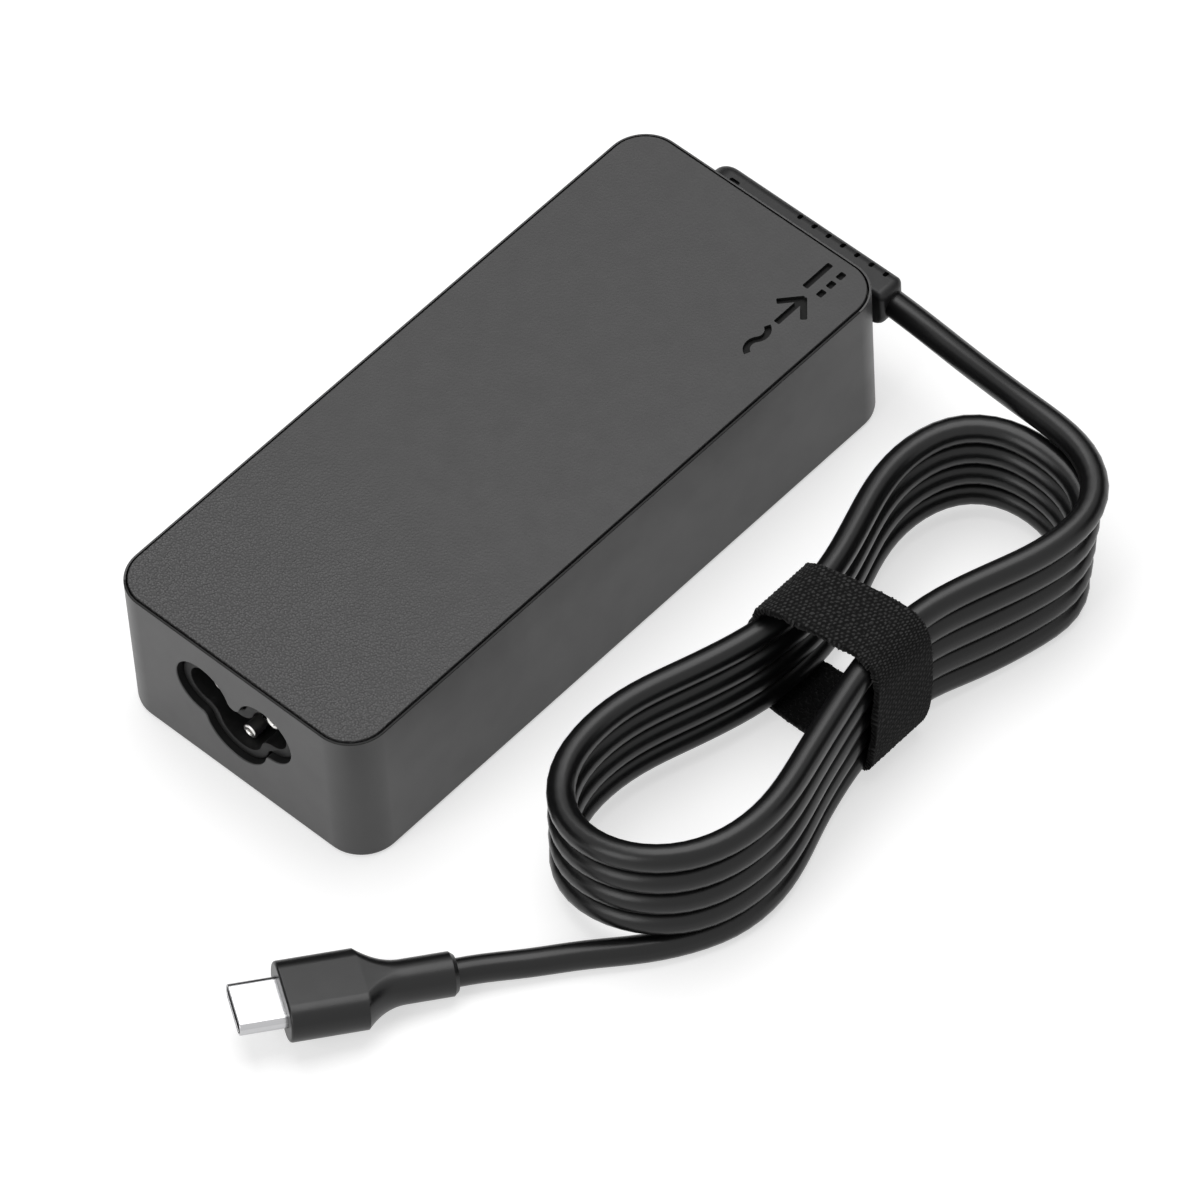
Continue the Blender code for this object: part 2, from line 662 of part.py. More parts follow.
def make_inlet():
    """The inlet's housing, with a nose in the case's opening, and its three pins."""
    nose = prism(inlet_outline(SEAT_GAP), NOSE_FRONT, HOUSING_FRONT + HOUSING_WALL, "X")
    housing = add("inlet_housing", nose, "black plastic")
    outline = rounded_rectangle(
        (-HOUSING_SIDE, HOUSING_BOTTOM), (HOUSING_SIDE, HOUSING_TOP), HOUSING_ROUND, 3
    )
    unite(housing, "inlet_block", prism(outline, HOUSING_FRONT, HOUSING_BACK, "X"))
    socket = inlet_outline(SEAT_GAP + LEDGE_WIDTH)
    cut(housing, "inlet_socket", prism(socket, NOSE_FRONT - WALL, SOCKET_BACK, "X"))
    pins = (
        ("inlet_pin_line", PIN_SIDE, PIN_RISE),
        ("inlet_pin_neutral", -PIN_SIDE, PIN_RISE),
        ("inlet_pin_earth", 0.0, EARTH_PIN_RISE),
    )
    for name, y, rise in pins:
        z = MID_HEIGHT + rise
        hole = circle(PIN_RADIUS + SEAT_GAP, 12, (y, z))
        cut(housing, f"{name}_hole", prism(hole, SOCKET_BACK - HOUSING_WALL, HOUSING_BACK + WALL, "X"))
        tip_x = NOSE_FRONT + PIN_RECESS
        bend = arc((PIN_LEG_X - PIN_BEND, z - PIN_BEND), PIN_BEND, math.pi / 2, -math.pi / 2, 4)
        route = [(tip_x, y, z), (tip_x + PIN_TIP_LENGTH, y, z)]
        route += [(x, y, level) for x, level in bend] + [(PIN_LEG_X, y, SEAT)]
        tube(name, route, PIN_RADIUS, "steel", PIN_TIP_SHARE)


# Circuit board and what stands on it


def make_board():
    """The circuit board on the shell's posts."""
    outline = rounded_rectangle((BOARD_START, -BOARD_SIDE), (BOARD_STOP, BOARD_SIDE), BOARD_CORNER, 3)
    add("circuit_board", prism(outline, BOARD_BOTTOM, BOARD_TOP), "board")


def standing(size, x, y):
    """The centre of a box of this size that stands on the board."""
    return (x, y, SEAT + size[2] / 2)


def pill_profile(radius, length, edge):
    """Half section of a round piece with both of its edges drawn in."""
    return ((radius - edge, 0.0), (radius, edge), (radius, length - edge), (radius - edge, length))


def can_profile(radius, length):
    """Half section of an aluminium can, crimped near its foot."""
    foot, *sides, top = pill_profile(radius, length, CAN_EDGE)
    neck = radius - CAN_CRIMP_DEPTH
    stop = CAN_CRIMP_START + CAN_CRIMP_LENGTH
    crimp = (
        (radius, CAN_CRIMP_START),
        (neck, CAN_CRIMP_START + CAN_CRIMP_LENGTH / 3),
        (neck, stop - CAN_CRIMP_LENGTH / 3),
        (radius, stop),
    )
    return (foot, sides[0], *crimp, sides[1], top)


def make_line_side():
    """Fuse, thermistor and capacitor that the mains meets first."""
    fuse_foot = (BOARD_START + FUSE_BACK, FUSE_Y, SEAT)
    add("fuse", turned(pill_profile(FUSE_RADIUS, FUSE_HEIGHT, PIECE_EDGE), fuse_foot), "black plastic")
    disc = pill_profile(THERMISTOR_RADIUS, THERMISTOR_THICKNESS, DISC_EDGE)
    thermistor_x = BOARD_START + THERMISTOR_BACK - THERMISTOR_THICKNESS / 2
    centre = (thermistor_x, THERMISTOR_Y, SEAT + THERMISTOR_RADIUS)
    add("thermistor", turned(disc, centre, axis="X"), "ferrite")
    capacitor_y = ROW_SIDE - X_CAPACITOR_SIZE[1] / 2
    centre = standing(X_CAPACITOR_SIZE, BOARD_START + X_CAPACITOR_BACK, capacitor_y)
    add("x_capacitor", box(X_CAPACITOR_SIZE, centre, PIECE_EDGE), "capacitor case")


def ring_section(turn, radius, half_bar, centre):
    """A rounded square section of a ring core, at this angle round it."""
    section = centred_rectangle(2 * half_bar, 2 * half_bar, half_bar * 0.45, 2)
    return [
        Vector(centre)
        + Vector(((radius + u) * math.cos(turn), (radius + u) * math.sin(turn), v))
        for u, v in section
    ]


def make_choke():
    """The common-mode choke: a ring core lying flat with a winding on each side."""
    winding_half = CHOKE_BAR + SEAT_GAP + CHOKE_WIRE
    choke_y = CHOKE_RADIUS + winding_half - ROW_SIDE
    centre = (BOARD_START + CHOKE_BACK, choke_y, SEAT + winding_half)
    rings = [ring_section(2 * math.pi * k / 28, CHOKE_RADIUS, CHOKE_BAR, centre) for k in range(28)]
    add("choke_core", loft(rings, closed=True), "ferrite")
    windings = (("choke_winding_line", 0.0), ("choke_winding_neutral", math.pi))
    for name, middle in windings:
        outer = []
        inner = []
        for k in range(2 * WINDING_TURNS + 1):
            turn = middle + WINDING_SWEEP * (k / (2 * WINDING_TURNS) - 0.5)
            wire = CHOKE_WIRE if k % 2 else 0.75 * CHOKE_WIRE
            outer.append(ring_section(turn, CHOKE_RADIUS, CHOKE_BAR + SEAT_GAP + wire, centre))
            inner.append(ring_section(turn, CHOKE_RADIUS, CHOKE_BAR + SEAT_GAP, centre))
        add(name, sleeve(outer, inner), "copper")


def make_primary_side():
    """Bridge rectifier, bulk capacitor, transistor on its heat sink, and controller."""
    bridge_y = ROW_SIDE - BRIDGE_SIZE[1] / 2
    bridge = box(BRIDGE_SIZE, standing(BRIDGE_SIZE, BRIDGE_X, bridge_y), PIECE_EDGE, 1)
    add("bridge_rectifier", bridge, "black plastic")
    foot = (BULK_STOP - BULK_LENGTH, ROW_SIDE - BULK_RADIUS, SEAT + BULK_RADIUS)
    add("bulk_capacitor", turned(can_profile(BULK_RADIUS, BULK_LENGTH), foot, 24, "X"), "capacitor sleeve")
    sink_length, sink_plate, sink_height = SINK_SIZE
    sink = add("heat_sink", box(SINK_SIZE, standing(SINK_SIZE, SINK_X, SINK_Y)), "aluminium")
    lip_y = SINK_Y - sink_plate / 2 + SINK_LIP / 2
    lip_centre = (SINK_X, lip_y, SEAT + sink_height - sink_plate / 2)
    unite(sink, "heat_sink_lip", box((sink_length, SINK_LIP, sink_plate), lip_centre))
    width, depth, height = TRANSISTOR_SIZE
    face_y = SINK_Y + sink_plate / 2 + SEAT_GAP
    body = box(TRANSISTOR_SIZE, (SINK_X, face_y + depth / 2, SEAT + height / 2), PIECE_EDGE, 1)
    transistor = add("power_transistor", body, "black plastic")
    tab_top = SEAT + sink_height - sink_plate - SEAT_GAP
    tab_low = SEAT + height / 2
    tab = (width - PIECE_EDGE, TRANSISTOR_TAB_THICKNESS, tab_top - tab_low)
    tab_centre = (SINK_X, face_y + TRANSISTOR_TAB_THICKNESS / 2, (tab_top + tab_low) / 2)
    unite(transistor, "transistor_tab", box(tab, tab_centre))
    chip = box(CONTROLLER_SIZE, standing(CONTROLLER_SIZE, SINK_X, CONTROLLER_Y), CHIP_EDGE, 1)
    add("primary_controller", chip, "black plastic")


def core_half(flip):
    """One E-shaped half of the transformer core, in (z, x), for extrusion along Y."""
    half = CORE_HEIGHT / 2 - SEAT_GAP / 2
    side = CORE_WIDTH / 2
    window = side - CORE_SIDE_LEG
    post = CORE_MIDDLE_LEG / 2
    steps = (
        (0.0, -side),
        (half, -side),
        (half, -window),
        (CORE_BACK, -window),
        (CORE_BACK, -post),
        (half, -post),
        (half, post),
        (CORE_BACK, post),
        (CORE_BACK, window),
        (half, window),
        (half, side),
        (0.0, side),
    )
    if flip:
        return [(CORE_HEIGHT - level, x) for level, x in reversed(steps)]
    return steps


def make_transformer():
    """The transformer: two E core halves closed round a taped winding, with a pad on top."""
    for name, flip in (("transformer_core_lower", False), ("transformer_core_upper", True)):
        half = prism(core_half(flip), -CORE_DEPTH / 2, CORE_DEPTH / 2, "Y")
        bmesh.ops.translate(half, vec=(CORE_X, CORE_Y, SEAT), verts=half.verts)
        add(name, half, "ferrite")
    hole_length = CORE_MIDDLE_LEG + 2 * SEAT_GAP
    hole_width = CORE_DEPTH + 2 * SEAT_GAP
    hole = centred_rectangle(hole_length, hole_width, SEAT_GAP, 4)
    outer = centred_rectangle(
        hole_length + 2 * WINDING_BUILD, hole_width + 2 * WINDING_BUILD, WINDING_CORNER, 4
    )
    low = SEAT + CORE_BACK + SEAT_GAP
    high = SEAT + CORE_HEIGHT - CORE_BACK - SEAT_GAP
    winding = sleeve(
        [place(outer, low, "Z"), place(outer, high, "Z")],
        [place(hole, low, "Z"), place(hole, high, "Z")],
    )
    bmesh.ops.translate(winding, vec=(CORE_X, CORE_Y, 0.0), verts=winding.verts)
    add("transformer_winding", winding, "yellow tape")
    pad = (PAD_WIDTH, CORE_DEPTH, PAD_THICKNESS)
    add("thermal_pad", box(pad, (CORE_X, CORE_Y, ROOM_TOP - PAD_THICKNESS / 2)), "thermal pad")


def make_isolation():
    """What links or parts the mains side and the low-voltage side."""
    chip_x = BARRIER_X - BARRIER_THICKNESS / 2 - Y_CAPACITOR_CLEAR - OPTOCOUPLER_SIZE[0] / 2
    chip = box(OPTOCOUPLER_SIZE, standing(OPTOCOUPLER_SIZE, chip_x, OPTOCOUPLER_Y), PIECE_EDGE, 1)
    add("optocoupler", chip, "black plastic")
    disc = pill_profile(Y_CAPACITOR_RADIUS, Y_CAPACITOR_THICKNESS, DISC_EDGE)
    disc_y = BOARD_SIDE - Y_CAPACITOR_INSET - Y_CAPACITOR_THICKNESS
    add("y_capacitor", turned(disc, (Y_CAPACITOR_X, disc_y, SEAT + Y_CAPACITOR_RADIUS), axis="Y"),
        "blue ceramic")
    size = (BARRIER_THICKNESS, 2 * (BOARD_SIDE - SEAT_GAP), ROOM_TOP - SEAT)
    add("isolation_barrier", box(size, standing(size, BARRIER_X, 0.0)), "clear sheet")


def make_output_side():
    """Capacitors, inductor, rectifier, port chip and the two terminals for the cord."""
    for number in (1, 2):
        aside = (2 * number - 1) * OUTPUT_CAPACITOR_RADIUS + (number - 1) * OUTPUT_CAPACITOR_CLEAR
        profile = can_profile(OUTPUT_CAPACITOR_RADIUS, OUTPUT_CAPACITOR_HEIGHT)
        can = turned(profile, (BOARD_STOP - OUTPUT_CAPACITOR_BACK, aside - ROW_SIDE, SEAT), 18)
        add(f"output_capacitor_{number}", can, "aluminium")
    wound = INDUCTOR_RADIUS - INDUCTOR_GROOVE
    drum = (
        (INDUCTOR_RADIUS, 0.0),
        (INDUCTOR_RADIUS, INDUCTOR_FLANGE),
        (wound, INDUCTOR_FLANGE + SEAT_GAP),
        (wound, INDUCTOR_HEIGHT - INDUCTOR_FLANGE - SEAT_GAP),
        (INDUCTOR_RADIUS, INDUCTOR_HEIGHT - INDUCTOR_FLANGE),
        (INDUCTOR_RADIUS, INDUCTOR_HEIGHT),
    )
    add("output_inductor", turned(drum, (BOARD_STOP - INDUCTOR_BACK, INDUCTOR_Y, SEAT)), "ferrite")
    rectifier_y = BOARD_SIDE - RECTIFIER_INSET - RECTIFIER_SIZE[1] / 2
    chips = (
        ("output_rectifier", RECTIFIER_SIZE, RECTIFIER_BACK, rectifier_y),
        ("port_controller", PORT_CHIP_SIZE, PORT_CHIP_BACK, PORT_CHIP_Y),
    )
    for name, size, back, y in chips:
        add(name, box(size, standing(size, BOARD_STOP - back, y), CHIP_EDGE, 1), "black plastic")
    wires = (("positive", -1, "red wire"), ("negative", 1, "black plastic"))
    for name, side, finish in wires:
        x = BOARD_STOP - TERMINAL_BACK
        y = BOOT_HEAD_Y + side * TERMINAL_SPREAD
        post = prism(circle(TERMINAL_RADIUS, 12, (x, y)), SEAT, SEAT + TERMINAL_HEIGHT)
        add(f"terminal_{name}", post, "brass")
        foot = SEAT + TERMINAL_HEIGHT + SEAT_GAP
        boot_face = CAVITY_END - SEAT_GAP - BOOT_FLANGE_THICKNESS - SEAT_GAP
        rise = BOOT_HEIGHT - foot
        route = smooth_route(
            (
                (x, y, foot),
                (x, y, foot + 0.4 * rise),
                (x + 0.3 * (boot_face - x), y - side * TERMINAL_SPREAD * 0.35, foot + 0.85 * rise),
                (boot_face, y - side * TERMINAL_SPREAD * 0.6, BOOT_HEIGHT),
            ),
            1.5 * MM,
        )
        tube(f"wire_{name}", route, WIRE_RADIUS, finish)


def make_heat_spreader():
    """The folded metal sheet over the board, its two legs standing on the shell's floor."""
    foot = FLOOR + SEAT_GAP
    inner_side = SPREADER_SIDE - SPREADER_THICKNESS
    section = (
        (-SPREADER_SIDE, foot),
        (-inner_side, foot),
        (-inner_side, SPREADER_UNDERSIDE),
        (inner_side, SPREADER_UNDERSIDE),
        (inner_side, foot),
        (SPREADER_SIDE, foot),
        (SPREADER_SIDE, SPREADER_TOP),
        (-SPREADER_SIDE, SPREADER_TOP),
    )
    start = BOARD_START + SPREADER_ENDS[0]
    stop = BOARD_STOP - SPREADER_ENDS[1]
    add("heat_spreader", prism(section, start, stop, "X"), "aluminium")


# Cord and what is on it


def slot_row(side):
    """The row of flexing slots in the boot's upper (1) or lower (-1) face."""
    level = BOOT_HEIGHT + side * (BOOT_HALF_HEIGHT - SLOT_DEPTH / 2 + WALL / 2)
    size = (SLOT_LENGTH, SLOT_WIDTH, SLOT_DEPTH + WALL)
    last = BOOT_END_Y + SLOT_FIRST_BACK
    return [
        box(size, (BOOT_MIDDLE_X + SLOT_OFFSET, last + SLOT_PITCH * k, level))
        for k in range(SLOT_COUNT)
    ]


def slot_side_row():
    """The slots in the boot's outer face, set between those above and below."""
    size = (SLOT_DEPTH + WALL, SLOT_WIDTH, BOOT_HALF_HEIGHT)
    centre_x = BOOT_OUTER - SLOT_DEPTH * 0.75 + size[0] / 2
    last = BOOT_END_Y + SLOT_FIRST_BACK + SLOT_PITCH / 2
    return [box(size, (centre_x, last + SLOT_PITCH * k, BOOT_HEIGHT)) for k in range(SLOT_COUNT - 1)]


def make_boot():
    """The right-angle strain relief: head, slotted arm, and a neck with an inner flange."""
    low_end = BOOT_HEIGHT - BOOT_HALF_HEIGHT
    high_end = BOOT_HEIGHT + BOOT_HALF_HEIGHT
    round_end = BOOT_END_ROUND
    outline = (
        arc((BOOT_HEAD_Y, BOOT_HEIGHT), BOOT_HALF_HEIGHT, -math.pi / 2, math.pi, 10)
        + arc((BOOT_END_Y + round_end, high_end - round_end), round_end, math.pi / 2, math.pi / 2, 3)
        + arc((BOOT_END_Y + round_end, low_end + round_end), round_end, math.pi, math.pi / 2, 3)
    )
    arm = prism(outline, BOOT_INNER, BOOT_OUTER, "X")
    round_level(arm, "X", BOOT_OUTER, BOOT_ROUND, 3)
    round_level(arm, "X", BOOT_INNER, BOOT_INNER_ROUND)
    boot = add("boot", arm, "boot rubber")
    flange_stop = CAVITY_END - SEAT_GAP
    flange_start = flange_stop - BOOT_FLANGE_THICKNESS
    neck = circle(BOOT_NECK_RADIUS, 20, (BOOT_HEAD_Y, BOOT_HEIGHT))
    unite(boot, "boot_neck", prism(neck, flange_start + SEAT_GAP, BOOT_MIDDLE_X, "X"))
    flange = circle(BOOT_FLANGE_RADIUS, 20, (BOOT_HEAD_Y, BOOT_HEIGHT))
    unite(boot, "boot_flange", prism(flange, flange_start, flange_stop, "X"))
    cut(boot, "boot_slots", joined(*slot_row(1), *slot_row(-1), *slot_side_row()))


def make_cord():
    """The cord's free stretches, and one closed solid for the tied hank between them."""
    start = (BOOT_MIDDLE_X, BOOT_END_Y - SEAT_GAP, BOOT_HEIGHT)
    lead_in = smooth_route((start, *LEAD_IN_MIDDLE, LEAD_IN_LAST), CORD_POINT_SPACING)
    tube("cord_lead_in", lead_in, CORD_RADIUS, "cord jacket")
    hank = prism(hank_outline(), HANK_BOTTOM, HANK_TOP)
    round_level(hank, "Z", HANK_TOP, HANK_ROUND)
    round_level(hank, "Z", HANK_BOTTOM, HANK_ROUND)
    add("cord_hank", hank, "cord jacket")
    stop = PLUG_FACE - PLUG_AHEAD * (PLUG_LENGTH + SEAT_GAP)
    lead_out = smooth_route((LEAD_OUT_FIRST, *LEAD_OUT_MIDDLE, stop), CORD_POINT_SPACING)
    tube("cord_lead_out", lead_out, CORD_RADIUS, "cord jacket")


def make_strap():
    """The hook-and-loop tie, a closed band round the hank's waist."""
    gap = SEAT_GAP * 2
    half = HANK_WAIST_HALF + gap
    inner = rounded_rectangle(
        (HANK_SPINE_Y - half, STRAP_THICKNESS),
        (HANK_SPINE_Y + half, HANK_TOP + SEAT_GAP),
        STRAP_CORNER - STRAP_THICKNESS,
    )
    outer = rounded_rectangle(
        (HANK_SPINE_Y - half - STRAP_THICKNESS, 0.0),
        (HANK_SPINE_Y + half + STRAP_THICKNESS, HANK_TOP + SEAT_GAP + STRAP_THICKNESS),
        STRAP_CORNER,
    )
    low = HANK_WAIST_X - STRAP_WIDTH / 2
    high = HANK_WAIST_X + STRAP_WIDTH / 2
    band = sleeve(
        [place(outer, low, "X"), place(outer, high, "X")],
        [place(inner, low, "X"), place(inner, high, "X")],
    )
    add("strap", band, "strap weave")


def plug_ring(x, half_width, half_height, steps=6):
    """A section of the plug's body: a rounded oblong about the plug's axis."""
    radius = min(half_width, half_height) * 0.999
    return place(centred_rectangle(2 * half_width, 2 * half_height, radius, steps), x, "X")


def plug_stations():
    """(x, half width, half height) from the front face back to the cord end."""
    half_width = PLUG_WIDTH / 2
    half_height = PLUG_THICKNESS / 2
    edge = PLUG_EDGE
    stations = [
        (0.0, half_width - edge, half_height - edge),
        (-edge * 0.3, half_width - edge * 0.3, half_height - edge * 0.3),
        (-edge, half_width, half_height),
    ]
    steps = 7
    for k in range(steps + 1):
        share = k / steps
        blend = (1 + math.cos(math.pi * share)) / 2
        stations.append(
            (
                -PLUG_BODY_LENGTH - PLUG_TAPER_LENGTH * share,
                PLUG_NECK_RADIUS + (half_width - PLUG_NECK_RADIUS) * blend,
                PLUG_NECK_RADIUS + (half_height - PLUG_NECK_RADIUS) * blend,
            )
        )
    stations.append((-PLUG_LENGTH + edge, PLUG_NECK_RADIUS, PLUG_NECK_RADIUS))
    stations.append((-PLUG_LENGTH, PLUG_NECK_RADIUS - edge, PLUG_NECK_RADIUS - edge))
    return stations


def oblong(width, height, inset, steps=6):
    """A flat-sided oval outline, drawn in by the inset."""
    half = height / 2 - inset
    return centred_rectangle(width - 2 * inset, 2 * half, half * 0.999, steps)


def contact_comb():
    """Outline in (x, y) of one row of contacts on their common bar."""
    back = -CONTACT_SHELL_ROOT + CONTACT_SHELL_WALL
    bar = back + CONTACT_BAR
    tip = back + CONTACT_LENGTH + CONTACT_BAR
    first = -CONTACT_PITCH * (CONTACT_COUNT - 1) / 2
    edge = first - CONTACT_WIDTH / 2
    points = [(back, edge), (back, -edge)]
    for k in reversed(range(CONTACT_COUNT)):
        middle = first + CONTACT_PITCH * k
        high = middle + CONTACT_WIDTH / 2
        low = middle - CONTACT_WIDTH / 2
        points += [] if k == CONTACT_COUNT - 1 else [(bar, high)]
        points += [(tip, high), (tip, low)]
        points += [] if k == 0 else [(bar, low)]
    return points


def make_plug():
    """The plug: moulded body, metal contact shell, and the insert with its contacts."""
    frame = bpy.data.objects.new("plug_frame", None)
    bpy.context.scene.collection.objects.link(frame)
    frame.location = PLUG_FACE
    frame.rotation_euler = (0.0, -PLUG_PITCH, PLUG_HEADING)
    rings = [plug_ring(*station) for station in plug_stations()]
    body = add("plug_body", loft(rings), "boot rubber", frame)
    pocket = oblong(CONTACT_SHELL_WIDTH, CONTACT_SHELL_THICKNESS, -FINE_GAP)
    root = -CONTACT_SHELL_ROOT
    cut(body, "plug_pocket", prism(pocket, root - SEAT_GAP, WALL, "X"))
    outer = oblong(CONTACT_SHELL_WIDTH, CONTACT_SHELL_THICKNESS, 0.0)
    inner = oblong(CONTACT_SHELL_WIDTH, CONTACT_SHELL_THICKNESS, CONTACT_SHELL_WALL)
    shell = sleeve(
        [place(outer, root, "X"), place(outer, CONTACT_SHELL_REACH, "X")],
        [place(inner, root, "X"), place(inner, CONTACT_SHELL_REACH, "X")],
    )
    add("plug_contact_shell", shell, "steel", frame)
    lining = oblong(CONTACT_SHELL_WIDTH, CONTACT_SHELL_THICKNESS, CONTACT_SHELL_WALL + FINE_GAP)
    insert = add(
        "plug_insert",
        prism(lining, root, CONTACT_SHELL_REACH - INSERT_RECESS, "X"),
        "black plastic",
        frame,
    )
    slot = centred_rectangle(TONGUE_SLOT_WIDTH, TONGUE_SLOT_HEIGHT, FINE_GAP, 2)
    slot_back = root + CONTACT_SHELL_WALL - CONTACT_CLEARANCE
    cut(insert, "tongue_slot", prism(slot, slot_back, CONTACT_SHELL_REACH + WALL, "X"))
    level = TONGUE_SLOT_HEIGHT / 2 - CONTACT_CLEARANCE - CONTACT_THICKNESS
    for name, low in (("upper", level), ("lower", -level - CONTACT_THICKNESS)):
        comb = prism(contact_comb(), low, low + CONTACT_THICKNESS)
        add(f"plug_contacts_{name}", comb, "brass", frame)


clear_scene()
make_case_shell()
make_case_cover()
make_inlet()
make_board()
make_line_side()
make_choke()
make_primary_side()
make_transformer()
make_isolation()
make_output_side()
make_heat_spreader()
make_boot()
make_cord()
make_strap()
make_plug()
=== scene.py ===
"""Looks of the laptop power adapter: case, mains inlet, ribbed boot, wound cord, tie strap and plug,
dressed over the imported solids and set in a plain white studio.

Lengths are in metres, in the frame of the solids: +X from the mains inlet to the boot, -Y towards the
side where the cord lies, +Z up, with the origin under the middle of the case.
"""

import json
import logging
import math
from dataclasses import dataclass
from enum import Enum
from functools import cached_property
from typing import Optional, Sequence

import bmesh
import bpy
from mathutils import Matrix, Vector, noise


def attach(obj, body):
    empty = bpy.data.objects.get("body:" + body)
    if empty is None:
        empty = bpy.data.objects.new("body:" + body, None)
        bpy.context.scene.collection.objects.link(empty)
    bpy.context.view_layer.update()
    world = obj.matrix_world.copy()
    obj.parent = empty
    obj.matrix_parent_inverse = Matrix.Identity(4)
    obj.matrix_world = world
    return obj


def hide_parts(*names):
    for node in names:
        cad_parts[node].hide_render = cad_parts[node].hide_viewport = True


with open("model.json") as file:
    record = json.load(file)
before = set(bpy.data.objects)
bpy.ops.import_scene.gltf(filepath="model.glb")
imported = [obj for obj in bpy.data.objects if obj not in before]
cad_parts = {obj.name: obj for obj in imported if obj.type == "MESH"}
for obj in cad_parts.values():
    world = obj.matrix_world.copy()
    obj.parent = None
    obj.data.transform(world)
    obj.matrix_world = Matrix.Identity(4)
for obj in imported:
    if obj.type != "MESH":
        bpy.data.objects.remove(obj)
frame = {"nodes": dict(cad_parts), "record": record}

LOG = logging.getLogger("adapter")
MM = 0.001
BODY = "root"
FINE_ANGLE = math.radians(5.0)
HALF_ROUND = 7  # points round a rolled rim
FACE_WEIGHT = 60  # how much a large face outweighs a small one in the shading
OVERCUT = 1.0 * MM  # how far a cutting tool stands past what it cuts
CLOSE = 1e-6  # metres within which two points count as one
SAME = 1e-7  # metres within which a point lies in a plane
TILTED = 0.3  # a part of the normal past which a face looks up
UPRIGHT = 0.5  # a part of the normal below which a face stands across it
WHITE = (1.0, 1.0, 1.0, 1.0)
Colour = tuple[float, float, float]
Point = tuple[float, float, float]
Plan = Sequence[tuple[float, float]]
Socket = bpy.types.NodeSocket


def placed(name: str, data: bpy.types.ID) -> bpy.types.Object:
    """Puts a new object into the scene.

    Args:
        name: its name.
        data: its mesh, curve, lamp or camera.

    Returns:
        The object.
    """
    made = bpy.data.objects.new(name, data)
    bpy.context.scene.collection.objects.link(made)
    return made


# Materials


class Relief(Enum):
    """What a surface's relief looks like close up."""

    SATIN = "satin"
    DRAWN = "drawn"
    SINTERED = "sintered"


class NodeTree:
    """Builds the nodes of one material or world."""

    def __init__(self, owner: bpy.types.Material | bpy.types.World) -> None:
        """Gives a material or world its nodes."""
        owner.use_nodes = True
        self.tree = owner.node_tree

    @cached_property
    def place(self) -> Socket:
        """The object's own coordinates."""
        return self.add("ShaderNodeTexCoord").outputs["Object"]

    @property
    def shader(self) -> bpy.types.Node:
        """The shader that a material starts with."""
        return self.tree.nodes["Principled BSDF"]

    def add(self, kind: str, inputs: Optional[dict] = None, **settings: object) -> bpy.types.Node:
        """Adds a node.

        Args:
            kind: the node's type.
            inputs: values or sockets for its inputs, by name or number.
            settings: the node's own settings.

        Returns:
            The node.
        """
        node = self.tree.nodes.new(kind)
        for key, value in settings.items():
            setattr(node, key, value)
        for key, value in (inputs or {}).items():
            self.feed(node.inputs[key], value)
        return node

    def feed(self, socket: Socket, value: object) -> None:
        """Links a socket to an input, or sets its value.

        Args:
            socket: the input.
            value: an output socket or a plain value.
        """
        if isinstance(value, Socket):
            self.tree.links.new(value, socket)
        else:
            socket.default_value = value

    def maths(self, operation: str, first: Socket, second: Socket | float, clamp: bool = False) -> Socket:
        """The socket of a number that is worked out from two others, kept within 0 to 1 by clamp."""
        node = self.add("ShaderNodeMath", {0: first, 1: second}, operation=operation, use_clamp=clamp)
        return node.outputs[0]

    def x_of(self, vector: Socket) -> Socket:
        """The X part of a vector."""
        return self.add("ShaderNodeSeparateXYZ", {"Vector": vector}).outputs["X"]

    def stretched(self, scale: Point) -> Socket:
        """The object's coordinates, with a factor for each axis."""
        return self.add("ShaderNodeMapping", {"Vector": self.place, "Scale": scale}).outputs["Vector"]

    def cloud(self, size: float, detail: float = 3.0, vector: Optional[Socket] = None) -> Socket:
        """Soft noise with patches of a size in metres and a number of finer layers."""
        inputs = {"Vector": vector or self.place, "Scale": 1.0 / size, "Detail": detail, "Roughness": 0.6}
        return self.add("ShaderNodeTexNoise", inputs).outputs["Fac"]

    def cells(self, size: float, vector: Socket, **settings: str) -> bpy.types.Node:
        """Cells of a size in metres, each with its own colour and the distance from its middle."""
        inputs = {"Vector": vector, "Scale": 1.0 / size}
        return self.add("ShaderNodeTexVoronoi", inputs, feature="F1", **settings)

    def spread(self, value: Socket, low: float, high: float, to_low: float, to_high: float) -> Socket:
        """A value with the range from low to high mapped on to another range."""
        inputs = {"Value": value, "From Min": low, "From Max": high, "To Min": to_low, "To Max": to_high}
        return self.add("ShaderNodeMapRange", inputs).outputs["Result"]

    def blend(self, factor: Socket, first: Socket | tuple, second: Socket | tuple) -> Socket:
        """Mixes two colours.

        Args:
            factor: share of the second one.
            first: a colour or its socket.
            second: a colour or its socket.

        Returns:
            The colour's socket.
        """
        factor_at, first_at, second_at, result_at = 0, 6, 7, 2
        inputs = {factor_at: factor, first_at: first, second_at: second}
        return self.add("ShaderNodeMix", inputs, data_type="RGBA").outputs[result_at]

    def raised(self, height: Socket, depth: float) -> Socket:
        """The normal of a relief, from its height and its depth in metres."""
        inputs = {"Height": height, "Distance": depth, "Strength": 1.0}
        return self.add("ShaderNodeBump", inputs).outputs["Normal"]


